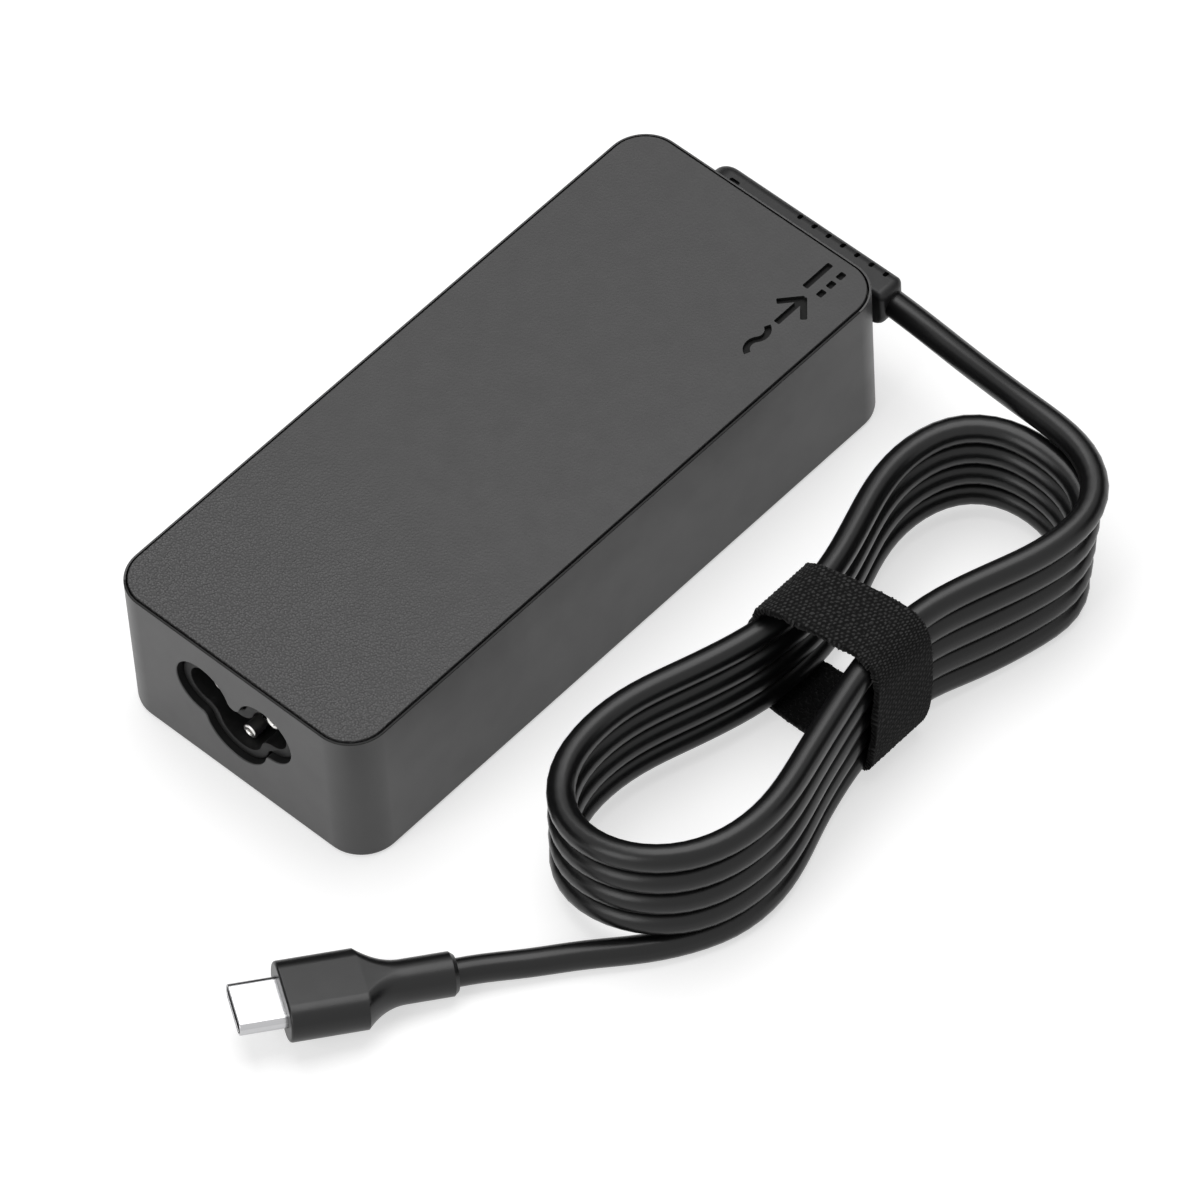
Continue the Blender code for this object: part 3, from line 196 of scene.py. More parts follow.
@dataclass(frozen=True)
class Finish:
    """A finish that wanders a little in colour and gloss and has a fine relief."""

    name: str
    colour: Colour
    roughness: float
    specular: float = 0.5
    metallic: float = 0.0
    mottle: float = 0.10
    mottle_size: float = 5.0 * MM
    relief: Relief = Relief.SATIN
    grain_size: float = 0.15 * MM
    grain_depth: float = 0.008 * MM
    draw_axis: int = 0
    drawn_scale: float = 0.04
    gloss_drift: float = 0.025

    def tone(self, share: float) -> tuple[float, float, float, float]:
        """The finish's colour, made lighter or darker by a share."""
        return (*(min(1.0, c * (1.0 + share)) for c in self.colour), 1.0)

    def grain(self, nodes: NodeTree) -> Socket:
        """The height of the relief.

        Args:
            nodes: the material's nodes.

        Returns:
            The height's socket.
        """
        if self.relief is Relief.DRAWN:
            scale = [1.0, 1.0, 1.0]
            scale[self.draw_axis] = self.drawn_scale
            return nodes.cloud(self.grain_size, 2.0, nodes.stretched(tuple(scale)))
        return nodes.cloud(self.grain_size, 4.0 if self.relief is Relief.SINTERED else 2.0)

    def paint(self, nodes: NodeTree, height: Socket) -> Socket:
        """The colour over the surface.

        Args:
            nodes: the material's nodes.
            height: the height of the relief.

        Returns:
            The colour's socket.
        """
        wander = nodes.cloud(self.mottle_size)
        return nodes.blend(wander, self.tone(-self.mottle), self.tone(self.mottle))

    def material(self) -> bpy.types.Material:
        """Makes the finish's material on its first use.

        Returns:
            The material.
        """
        name = f"{self.name}_finish"
        made = bpy.data.materials.get(name)
        if made is not None:
            return made
        made = bpy.data.materials.new(name)
        nodes = NodeTree(made)
        height = self.grain(nodes)
        drift = nodes.spread(
            nodes.cloud(self.mottle_size * 0.6), 0.3, 0.7, -self.gloss_drift, self.gloss_drift
        )
        inputs = {
            "Base Color": self.paint(nodes, height),
            "Roughness": nodes.maths("ADD", drift, self.roughness),
            "Normal": nodes.raised(height, self.grain_depth),
            "Metallic": self.metallic,
            "Specular IOR Level": self.specular,
            **self.extra(),
        }
        for key, value in inputs.items():
            nodes.feed(nodes.shader.inputs[key], value)
        return made

    def extra(self) -> dict[str, float]:
        """The other inputs of the shader that a kind of finish sets."""
        return {}


@dataclass(frozen=True)
class GrainedPlastic(Finish):
    """Moulded plastic with the pebbled skin that a spark-eroded mould leaves.

    The grain, and the painted highlight on the pebbles' tops, are strongest at one end of the part and thin
    out along it.
    """

    # How much lighter the painted highlight on the pebbles' tops is.
    painted_glint: float = 1.5
    drift: float = 0.4
    drift_pace: float = 0.6
    strong_until: float = -50.0 * MM
    thin_from: float = -14.0 * MM
    thinnest: float = 0.12

    def grain(self, nodes: NodeTree) -> Socket:
        """The height of the pebbles, which wander in shape and differ in height.

        Args:
            nodes: the material's nodes.

        Returns:
            The height's socket.
        """
        inputs = {"Vector": nodes.place, "Scale": self.drift_pace / self.grain_size}
        drift = nodes.add("ShaderNodeTexNoise", inputs).outputs["Color"]
        inputs = {0: drift, "Scale": self.grain_size * self.drift}
        sway = nodes.add("ShaderNodeVectorMath", inputs, operation="SCALE").outputs[0]
        bent = nodes.add("ShaderNodeVectorMath", {0: nodes.place, 1: sway}, operation="ADD").outputs[0]
        pebbles = nodes.cells(self.grain_size, bent)
        domes = nodes.spread(pebbles.outputs["Distance"], 0.25, 0.75, 1.0, 0.0)
        rise = nodes.spread(nodes.x_of(pebbles.outputs["Color"]), 0.10, 0.90, 0.55, 1.0)
        along = nodes.x_of(nodes.place)
        share = nodes.spread(along, self.strong_until, self.thin_from, 1.0, self.thinnest)
        return nodes.maths("MULTIPLY", nodes.maths("MULTIPLY", domes, rise), share)

    def paint(self, nodes: NodeTree, height: Socket) -> Socket:
        """The colour, with a painted highlight on the pebbles' tops."""
        # Painted highlight: the colour is lightened on the pebbles' tops.
        lit = nodes.spread(height, 0.15, 0.85, 0.0, 1.0)
        return nodes.blend(lit, super().paint(nodes, height), self.tone(self.painted_glint))


@dataclass(frozen=True)
class HookLoopWeave(Finish):
    """The looped face of a hook-and-loop strap, with a painted highlight on the loops and painted shade in
    the ground between them.

    The loops stand in the mesh, which carries their height as the attribute named here.
    """

    sheen: float = 0.05
    sheen_roughness: float = 0.6
    # dark and light: painted shade in the ground between the loops and painted highlight on the loops' tops.
    dark: float = -0.9
    light: float = 1.9
    attribute: str = "loop_height"

    def grain(self, nodes: NodeTree) -> Socket:
        """The height of the single fibres."""
        return nodes.cloud(self.grain_size, 4.0)

    def paint(self, nodes: NodeTree, height: Socket) -> Socket:
        """Painted highlight on the loops, broken up by their fibres, over painted shade in the ground
        between them.

        Args:
            nodes: the material's nodes.
            height: the height of the fibres.

        Returns:
            The colour's socket.
        """
        loops = nodes.add("ShaderNodeAttribute", attribute_name=self.attribute).outputs["Fac"]
        lit = nodes.maths("MULTIPLY", loops, nodes.spread(height, 0.35, 0.65, 0.30, 1.0))
        share = nodes.spread(lit, 0.10, 0.45, 0.0, 1.0)
        return nodes.blend(share, self.tone(self.dark), self.tone(self.light))

    def extra(self) -> dict[str, float]:
        """The soft sheen of the fibres."""
        return {"Sheen Weight": self.sheen, "Sheen Roughness": self.sheen_roughness}


@dataclass(frozen=True)
class SolderMask(Finish):
    """Green board lacquer over faint copper traces."""

    trace_size: float = 3.2 * MM
    trace_light: float = 0.45

    def paint(self, nodes: NodeTree, height: Socket) -> Socket:
        """The colour, lighter where a trace runs under the lacquer.

        Args:
            nodes: the material's nodes.
            height: the height of the relief.

        Returns:
            The colour's socket.
        """
        lanes = nodes.cells(self.trace_size, nodes.place, distance="MANHATTAN").outputs["Distance"]
        traces = nodes.spread(lanes, 0.42, 0.46, 1.0, 0.0)
        return nodes.blend(traces, super().paint(nodes, height), self.tone(self.trace_light))


class Look:
    """Every finish of the adapter. Those of the pieces inside go by their material slot."""

    CASE_TOP = GrainedPlastic(
        "case_grained_top", (0.038, 0.0375, 0.038), 0.50, 0.42, mottle=0.05, grain_size=0.36 * MM,
        grain_depth=0.085 * MM,
    )
    CASE_SIDE = Finish(
        "case_satin_side", (0.046, 0.0455, 0.046), 0.40, 0.5, mottle=0.05, mottle_size=9 * MM,
        grain_size=0.20 * MM, grain_depth=0.006 * MM,
    )
    # Painted shade: a dark finish on the rim and the groove's walls, standing in for the shade and dark
    # reflection in the groove.
    RIM_PAINTED_SHADE = Finish("case_rim_painted_shade", (0.018, 0.018, 0.018), 0.6, 0.2, mottle=0.05, grain_depth=0.003 * MM)
    # Painted shade: a near-black finish on the floors and walls of the signs' recesses and on the inlet
    # opening's wall.
    RECESS_PAINTED_SHADE = Finish("case_recess_painted_shade", (0.008, 0.008, 0.008), 0.7, 0.2, grain_size=0.3 * MM)
    BOOT = Finish("boot_rubber", (0.013, 0.013, 0.0135), 0.45, 0.34, grain_size=0.25 * MM)
    JACKET = Finish(
        "cord_jacket", (0.004, 0.004, 0.0042), 0.30, 0.36, mottle=0.12, mottle_size=14 * MM,
        grain_size=0.5 * MM, grain_depth=0.004 * MM,
    )
    STRAP = HookLoopWeave(
        "strap_weave", (0.015, 0.015, 0.015), 0.9, 0.12, grain_size=0.22 * MM, grain_depth=0.06 * MM
    )
    PLUG = Finish(
        "plug_rubber", (0.004, 0.004, 0.0042), 0.33, 0.40, mottle=0.06, grain_size=0.16 * MM,
        grain_depth=0.006 * MM,
    )
    INLET = Finish("inlet_plastic", (0.008, 0.008, 0.008), 0.5, 0.2)
    STEEL = Finish(
        "bright_steel", (0.50, 0.50, 0.51), 0.20, 0.5, 1.0, mottle=0.02, relief=Relief.DRAWN,
        grain_size=0.12 * MM, grain_depth=0.001 * MM,
    )
    PIN = Finish(
        "pin_plating", (0.83, 0.82, 0.80), 0.28, 0.5, 1.0, mottle=0.03, grain_depth=0.001 * MM
    )
    INSIDE = {
        finish.name: finish
        for finish in (
            Finish("black_plastic", (0.010, 0.010, 0.010), 0.45, 0.35),
            Finish("contact_brass", (0.78, 0.60, 0.30), 0.28, 0.5, 1.0, mottle=0.05),
            Finish(
                "copper_wire", (0.62, 0.26, 0.12), 0.28, 0.5, 1.0, relief=Relief.DRAWN,
                grain_size=0.5 * MM,
            ),
            Finish(
                "plain_aluminium", (0.75, 0.75, 0.77), 0.34, 0.5, 1.0, mottle=0.04,
                relief=Relief.DRAWN, grain_size=0.15 * MM, grain_depth=0.003 * MM,
            ),
            SolderMask("board_laminate", (0.03, 0.17, 0.07), 0.38),
            Finish(
                "ferrite", (0.07, 0.07, 0.075), 0.65, 0.3, mottle=0.2, relief=Relief.SINTERED,
                grain_size=0.4 * MM, grain_depth=0.03 * MM,
            ),
            Finish(
                "winding_tape", (0.80, 0.58, 0.07), 0.35, 0.5, relief=Relief.DRAWN,
                grain_size=1.5 * MM, draw_axis=2,
            ),
            Finish("ceramic_coat", (0.05, 0.16, 0.45), 0.30, 0.5, mottle_size=2 * MM),
            Finish("capacitor_sleeve", (0.03, 0.04, 0.10), 0.28, 0.5, mottle_size=8 * MM),
            Finish("capacitor_case", (0.72, 0.58, 0.20), 0.32, 0.5),
            Finish("barrier_sheet", (0.80, 0.78, 0.70), 0.40, 0.5),
            Finish("red_insulation", (0.50, 0.03, 0.03), 0.42, 0.4),
            Finish("thermal_silicone", (0.45, 0.50, 0.55), 0.75, 0.3, grain_size=0.4 * MM),
        )
    }


# Shaping


class Join(Enum):
    """How one shape is put together with another."""

    CUT = "DIFFERENCE"
    UNITE = "UNION"


class Shape:
    """A mesh in the making, shaped with bmesh operators."""

    def __init__(self) -> None:
        """Starts empty."""
        self.bm = bmesh.new()

    @classmethod
    def block(cls, size: Point, centre: Point) -> "Shape":
        """A box, from its lengths along X, Y and Z and its middle."""
        made = cls()
        matrix = Matrix.Translation(centre) @ Matrix.Diagonal((*size, 1.0))
        bmesh.ops.create_cube(made.bm, size=1.0, matrix=matrix)
        return made

    @classmethod
    def plate(
        cls, size: tuple[float, float], corner: float, low: float, high: float, segments: int = 18
    ) -> "Shape":
        """A slab with upright rounded corners, from its size, their radius and its two levels."""
        made = cls.block((*size, high - low), (0.0, 0.0, (low + high) / 2))
        return made.rounded(made.edges_along(2), corner, segments)

    @classmethod
    def turned(cls, profile: Sequence[tuple[float, float]], steps: int = 40) -> "Shape":
        """A solid of revolution about the X axis.

        Args:
            profile: (x, radius) pairs, the first and last of them on the axis.
            steps: number of flats round it.

        Returns:
            The shape.
        """
        made = cls()
        tip = made.bm.verts.new((profile[0][0], 0.0, profile[0][1]))
        for x, radius in profile[1:]:
            grown = bmesh.ops.extrude_vert_indiv(made.bm, verts=[tip])
            tip = grown["verts"][0]
            tip.co = (x, 0.0, radius)
        bmesh.ops.spin(
            made.bm, geom=made.bm.verts[:] + made.bm.edges[:], cent=(0.0, 0.0, 0.0), axis=(1.0, 0.0, 0.0),
            angle=math.tau, steps=steps, use_merge=True,
        )
        bmesh.ops.remove_doubles(made.bm, verts=made.bm.verts, dist=SAME)
        return made.outward()

    @classmethod
    def rod(cls, start: float, stop: float, radius: float, y: float, z: float) -> "Shape":
        """A round rod along X, from its two ends, its radius and where it lies."""
        made = cls.turned([(start, 0.0), (start, radius), (stop, radius), (stop, 0.0)])
        return made.moved(Matrix.Translation((0.0, y, z)))

    def moved(self, matrix: Matrix) -> "Shape":
        """The shape itself, after a turn or shift."""
        bmesh.ops.transform(self.bm, matrix=matrix, verts=self.bm.verts)
        return self

    def outward(self) -> "Shape":
        """The shape itself, with every face pointing out."""
        bmesh.ops.recalc_face_normals(self.bm, faces=self.bm.faces)
        return self

    def rounded(self, edges: Sequence[bmesh.types.BMEdge], radius: float, segments: int = 3) -> "Shape":
        """Rounds edges.

        Args:
            edges: the edges.
            radius: how far back the rounding starts.
            segments: its number of flats.

        Returns:
            The shape itself.
        """
        bmesh.ops.bevel(
            self.bm, geom=list(edges), offset=radius, segments=segments, profile=0.5, affect="EDGES",
            material=-1,
        )
        return self

    def edges_along(self, axis: int) -> list[bmesh.types.BMEdge]:
        """Edges that run from one level of an axis to another."""
        return [e for e in self.bm.edges if abs(e.verts[0].co[axis] - e.verts[1].co[axis]) > CLOSE]

    def edges_at(self, axis: int, level: float) -> list[bmesh.types.BMEdge]:
        """Edges that lie in a plane, by its axis and level."""
        return [e for e in self.bm.edges if all(abs(v.co[axis] - level) < SAME for v in e.verts)]

    def rims_at(self, axis: int, level: float) -> list[bmesh.types.BMEdge]:
        """Edges in a plane along which the surface turns a corner of half a radian or more."""
        self.bm.normal_update()
        return [e for e in self.edges_at(axis, level) if e.calc_face_angle(0.0) > 0.5]

    def faces_at(self, axis: int, level: float) -> list[bmesh.types.BMFace]:
        """Faces that lie in a plane, by its axis and level."""
        return [f for f in self.bm.faces if all(abs(v.co[axis] - level) < SAME for v in f.verts)]

    def pushed(self, faces: Sequence[bmesh.types.BMFace], shift: Vector) -> None:
        """Extrudes faces as one.

        Args:
            faces: the faces.
            shift: the way that they go.
        """
        grown = bmesh.ops.extrude_face_region(self.bm, geom=list(faces))
        made = [v for v in grown["geom"] if isinstance(v, bmesh.types.BMVert)]
        bmesh.ops.translate(self.bm, vec=shift, verts=made)

    def drawn_out(self, axis: int, length: float) -> "Shape":
        """Extrudes every face of a flat shape.

        Args:
            axis: the axis along which it grows.
            length: how far it grows.

        Returns:
            The shape itself.
        """
        shift = Vector()
        shift[axis] = length
        self.pushed(self.bm.faces[:], shift)
        return self.outward()

    def sunk(
        self, faces: Sequence[bmesh.types.BMFace], margin: float, depth: float
    ) -> list[bmesh.types.BMFace]:
        """Sets faces back inside their own rim.

        Args:
            faces: the faces.
            margin: width of the rim that stays.
            depth: how far they are let in, against their normal.

        Returns:
            The faces that were let in.
        """
        if margin:
            bmesh.ops.inset_region(self.bm, faces=list(faces), thickness=margin, use_even_offset=True)
        normal = faces[0].normal.copy()
        level = faces[0].verts[0].co.dot(normal)
        self.pushed(faces, normal * -depth)
        bmesh.ops.delete(self.bm, geom=[f for f in faces if f.is_valid], context="FACES_ONLY")
        self.bm.normal_update()
        return [
            f for f in self.bm.faces
            if f.normal.dot(normal) > 0.999 and abs(f.verts[0].co.dot(normal) - level + depth) < SAME
        ]

    def copied(self) -> bpy.types.Mesh:
        """Makes a loose mesh of the shape.

        Returns:
            The mesh.
        """
        mesh = bpy.data.meshes.new("shape")
        self.bm.to_mesh(mesh)
        return mesh

    def with_shape(self, other: "Shape") -> "Shape":
        """Lays another shape into the same mesh.

        Args:
            other: the other shape, which may lie anywhere.

        Returns:
            The shape itself.
        """
        mesh = other.copied()
        self.bm.from_mesh(mesh)
        bpy.data.meshes.remove(mesh)
        return self

    def combined(self, other: "Shape", join: Join, crossing: bool = False) -> "Shape":
        """Cuts another shape out, or unites with it.

        Args:
            other: the other shape.
            join: which of the two.
            crossing: whether the other shape has parts that cross each other.

        Returns:
            The shape itself.
        """
        hosts = [placed("helper", made.copied()) for made in (self, other)]
        modifier = hosts[0].modifiers.new("combine", "BOOLEAN")
        modifier.object = hosts[1]
        modifier.operation = join.value
        modifier.solver = "EXACT"
        modifier.use_self = crossing
        solved = bpy.data.meshes.new_from_object(
            hosts[0].evaluated_get(bpy.context.evaluated_depsgraph_get())
        )
        self.bm.clear()
        self.bm.from_mesh(solved)
        bpy.data.meshes.remove(solved)
        for host in hosts:
            mesh = host.data
            bpy.data.objects.remove(host)
            bpy.data.meshes.remove(mesh)
        return self

    def piece(self, name: str, *finishes: Finish, sharp: float = 35.0) -> bpy.types.Object:
        """Turns the shape into a smooth-shaded object.

        Args:
            name: the object's name.
            finishes: its finishes, in the order of the faces' material numbers.
            sharp: degrees past which an edge shows.

        Returns:
            The object.
        """
        mesh = bpy.data.meshes.new(name)
        self.bm.to_mesh(mesh)
        self.bm.free()
        mesh.shade_smooth()
        mesh.set_sharp_from_angle(angle=math.radians(sharp))
        for finish in finishes:
            mesh.materials.append(finish.material())
        made = placed(name, mesh)
        modifier = made.modifiers.new("even_shading", "WEIGHTED_NORMAL")
        modifier.keep_sharp = True
        modifier.weight = FACE_WEIGHT
        return made


class Pen:
    """Draws a flat outline out of arcs and straight lines, and fills it."""

    def __init__(self, start: Point, axis: Point) -> None:
        """Sets the pen down.

        Args:
            start: where the outline begins.
            axis: what its arcs turn about.
        """
        self.shape = Shape()
        self.axis = Vector(axis)
        self.tip = self.shape.bm.verts.new(start)

    def arc(self, centre: Point, sweep: float) -> "Pen":
        """Draws an arc.

        Args:
            centre: its centre.
            sweep: the signed angle it turns through.

        Returns:
            The pen itself.
        """
        steps = max(2, math.ceil(abs(sweep) / FINE_ANGLE))
        made = bmesh.ops.spin(
            self.shape.bm, geom=[self.tip], cent=centre, axis=self.axis, angle=sweep, steps=steps
        )
        self.tip = next(v for v in made["geom_last"] if isinstance(v, bmesh.types.BMVert))
        return self

    def line(self, stop: Point) -> "Pen":
        """Draws a straight line.

        Args:
            stop: where it ends.

        Returns:
            The pen itself.
        """
        self.tip = bmesh.ops.extrude_vert_indiv(self.shape.bm, verts=[self.tip])["verts"][0]
        self.tip.co = stop
        return self

    def fill(self) -> Shape:
        """Closes the outline and fills it.

        Returns:
            The flat shape.
        """
        bm = self.shape.bm
        bmesh.ops.remove_doubles(bm, verts=bm.verts, dist=CLOSE)
        if any(len(v.link_edges) < 2 for v in bm.verts):
            bm.edges.new([v for v in bm.verts if len(v.link_edges) < 2])
        bmesh.ops.contextual_create(bm, geom=bm.edges[:])
        return self.shape


def publish(piece: bpy.types.Object, slot: str, *nodes: str) -> bpy.types.Object:
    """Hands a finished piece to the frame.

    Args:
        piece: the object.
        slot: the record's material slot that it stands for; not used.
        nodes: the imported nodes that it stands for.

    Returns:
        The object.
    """
    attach(piece, BODY)
    if nodes:
        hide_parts(*nodes)
    LOG.info("%s stands for %s", piece.name, ", ".join(nodes) or "nothing packed")
    return piece


# Case


@dataclass
class Inlet:
    """The three-lobed mains inlet in the case's short end, with its pins.

    The pit in a pin's tip is (way in, radius) pairs, and each pin has its name, y and z.
    """

    wall_x: float = -54.0 * MM
    lobe_radius: float = 4.9 * MM
    lobe_side: float = 5.85 * MM
    lobe_level: float = 15.7 * MM
    earth_radius: float = 5.7 * MM
    earth_level: float = 11.5 * MM
    valley_level: float = 16.2 * MM
    waist_fillet: float = 1.0 * MM
    gap: float = 0.3 * MM
    ledge: float = 1.5 * MM
    recess: float = 1.0 * MM
    socket_depth: float = 11.8 * MM
    pin_radius: float = 1.2 * MM
    pin_tip_x: float = -51.6 * MM
    block_x: float = -51.7 * MM
    block_size: tuple[float, float] = (24.3 * MM, 17.6 * MM)
    block_level: float = 13.2 * MM
    block_round: float = 0.8 * MM
    cut_before: float = 2.0 * MM
    cut_length: float = 6.0 * MM
    nose_length: float = 5.0 * MM
    nose_round: float = 0.22 * MM
    mouth_round: float = 0.15 * MM
    socket_floor: float = 1.4 * MM
    pin_hollow: float = 0.5 * MM
    pin_pit: tuple[tuple[float, float], ...] = ((1.4 * MM, 0.0), (1.2 * MM, 0.42 * MM), (0.3 * MM, 0.5 * MM))
    pin_rim: float = 0.24 * MM
    pin_root: float = 0.8 * MM
    pins: tuple[tuple[str, float, float], ...] = (
        ("line", 5.0 * MM, 15.3 * MM), ("neutral", -5.0 * MM, 15.3 * MM), ("earth", 0.0, 9.0 * MM),
    )

    def outline(self, inset: float, x: float) -> Shape:
        """The inlet's outline as a flat face.

        Args:
            inset: how far it is drawn in from the opening's edge.
            x: the level at which it stands.

        Returns:
            The face.
        """
        right = Vector((x, self.lobe_side, self.lobe_level))
        left = Vector((x, -self.lobe_side, self.lobe_level))
        earth = Vector((x, 0.0, self.earth_level))
        drop = self.valley_level - self.lobe_level
        fillet = (self.lobe_side**2 + drop**2 - self.lobe_radius**2) / (2 * (self.lobe_radius - drop))
        valley = Vector((x, 0.0, self.valley_level + fillet))
        waist = self.touching(earth, self.earth_radius, right, self.lobe_radius)
        other = Vector((x, -waist.y, waist.z))
        stretches = (
            (earth, other, waist, 1), (waist, earth, right, -1), (right, waist, valley, 1),
            (valley, right, left, -1), (left, valley, other, 1), (other, left, earth, -1),
        )
        start = earth + (other - earth).normalized() * (self.earth_radius - inset)
        pen = Pen(start, (1.0, 0.0, 0.0))
        for centre, before, after, sense in stretches:
            first = math.atan2(before.z - centre.z, before.y - centre.y)
            last = math.atan2(after.z - centre.z, after.y - centre.y)
            sweep = (last - first) % math.tau if sense > 0 else -((first - last) % math.tau)
            pen.arc(centre, sweep)
        return pen.fill()

    def touching(self, first: Vector, first_radius: float, second: Vector, second_radius: float) -> Vector:
        """Centre of the small fillet that touches two lobes.

        Args:
            first: the centre of the lower lobe.
            first_radius: its radius.
            second: the centre of the upper lobe.
            second_radius: its radius.

        Returns:
            The fillet's centre, below the line between the two.
        """
        near = first_radius + self.waist_fillet
        far = second_radius + self.waist_fillet
        way = second - first
        along = (way.length_squared + near**2 - far**2) / (2 * way.length)
        way.normalize()
        aside = Vector((0.0, way.z, -way.y))
        return first + way * along + aside * math.sqrt(near**2 - along**2)

    def opening(self) -> Shape:
        """The tool that cuts the opening through the case's wall."""
        return self.outline(0.0, self.wall_x - self.cut_before).drawn_out(0, self.cut_length)

    def build(self) -> None:
        """Makes the housing with its socket, and the three pins."""
        front = self.wall_x + self.recess
        back = front + self.socket_depth
        stop = back + self.socket_floor
        housing = self.outline(self.gap, front).drawn_out(0, self.nose_length)
        housing.rounded(housing.edges_at(0, front), self.nose_round, 3)
        block = Shape.block((stop - self.block_x, *self.block_size), (0.0, 0.0, 0.0))
        block.rounded(block.bm.edges[:], self.block_round, 3)
        block.moved(Matrix.Translation(((self.block_x + stop) / 2, 0.0, self.block_level)))
        housing.combined(block, Join.UNITE)
        socket = self.outline(self.gap + self.ledge, front - OVERCUT)
        housing.combined(socket.drawn_out(0, back - front + OVERCUT), Join.CUT)
        bmesh.ops.triangulate(housing.bm, faces=housing.faces_at(0, front))
        housing.rounded(housing.rims_at(0, front), self.mouth_round, 2)
        publish(housing.piece("inlet_shroud", Look.INLET), "black_plastic", "inlet_housing")
        for name, y, z in self.pins:
            self.build_pin(name, y, z, back)

    def build_pin(self, name: str, y: float, z: float, back: float) -> None:
        """Makes one round pin with its rolled, hollow tip.

        Args:
            name: which pin it is.
            y: its place across the inlet.
            z: its height.
            back: where it enters the socket's floor.
        """
        tip = self.pin_tip_x
        profile = [(tip + x, radius) for x, radius in self.pin_pit]
        reach = (self.pin_radius - self.pin_hollow) / 2
        for k in range(HALF_ROUND):
            turn = math.pi * k / (HALF_ROUND - 1)
            radius = self.pin_hollow + reach * (1 - math.cos(turn))
            profile.append((tip + self.pin_rim * (1 - math.sin(turn)), radius))
        root = back + self.pin_root
        profile += [(root, self.pin_radius), (root, 0.0)]
        pin = Shape.turned(profile).moved(Matrix.Translation((0.0, y, z)))
        publish(pin.piece(f"pin_{name}", Look.PIN), "pin_metal", f"inlet_pin_{name}")


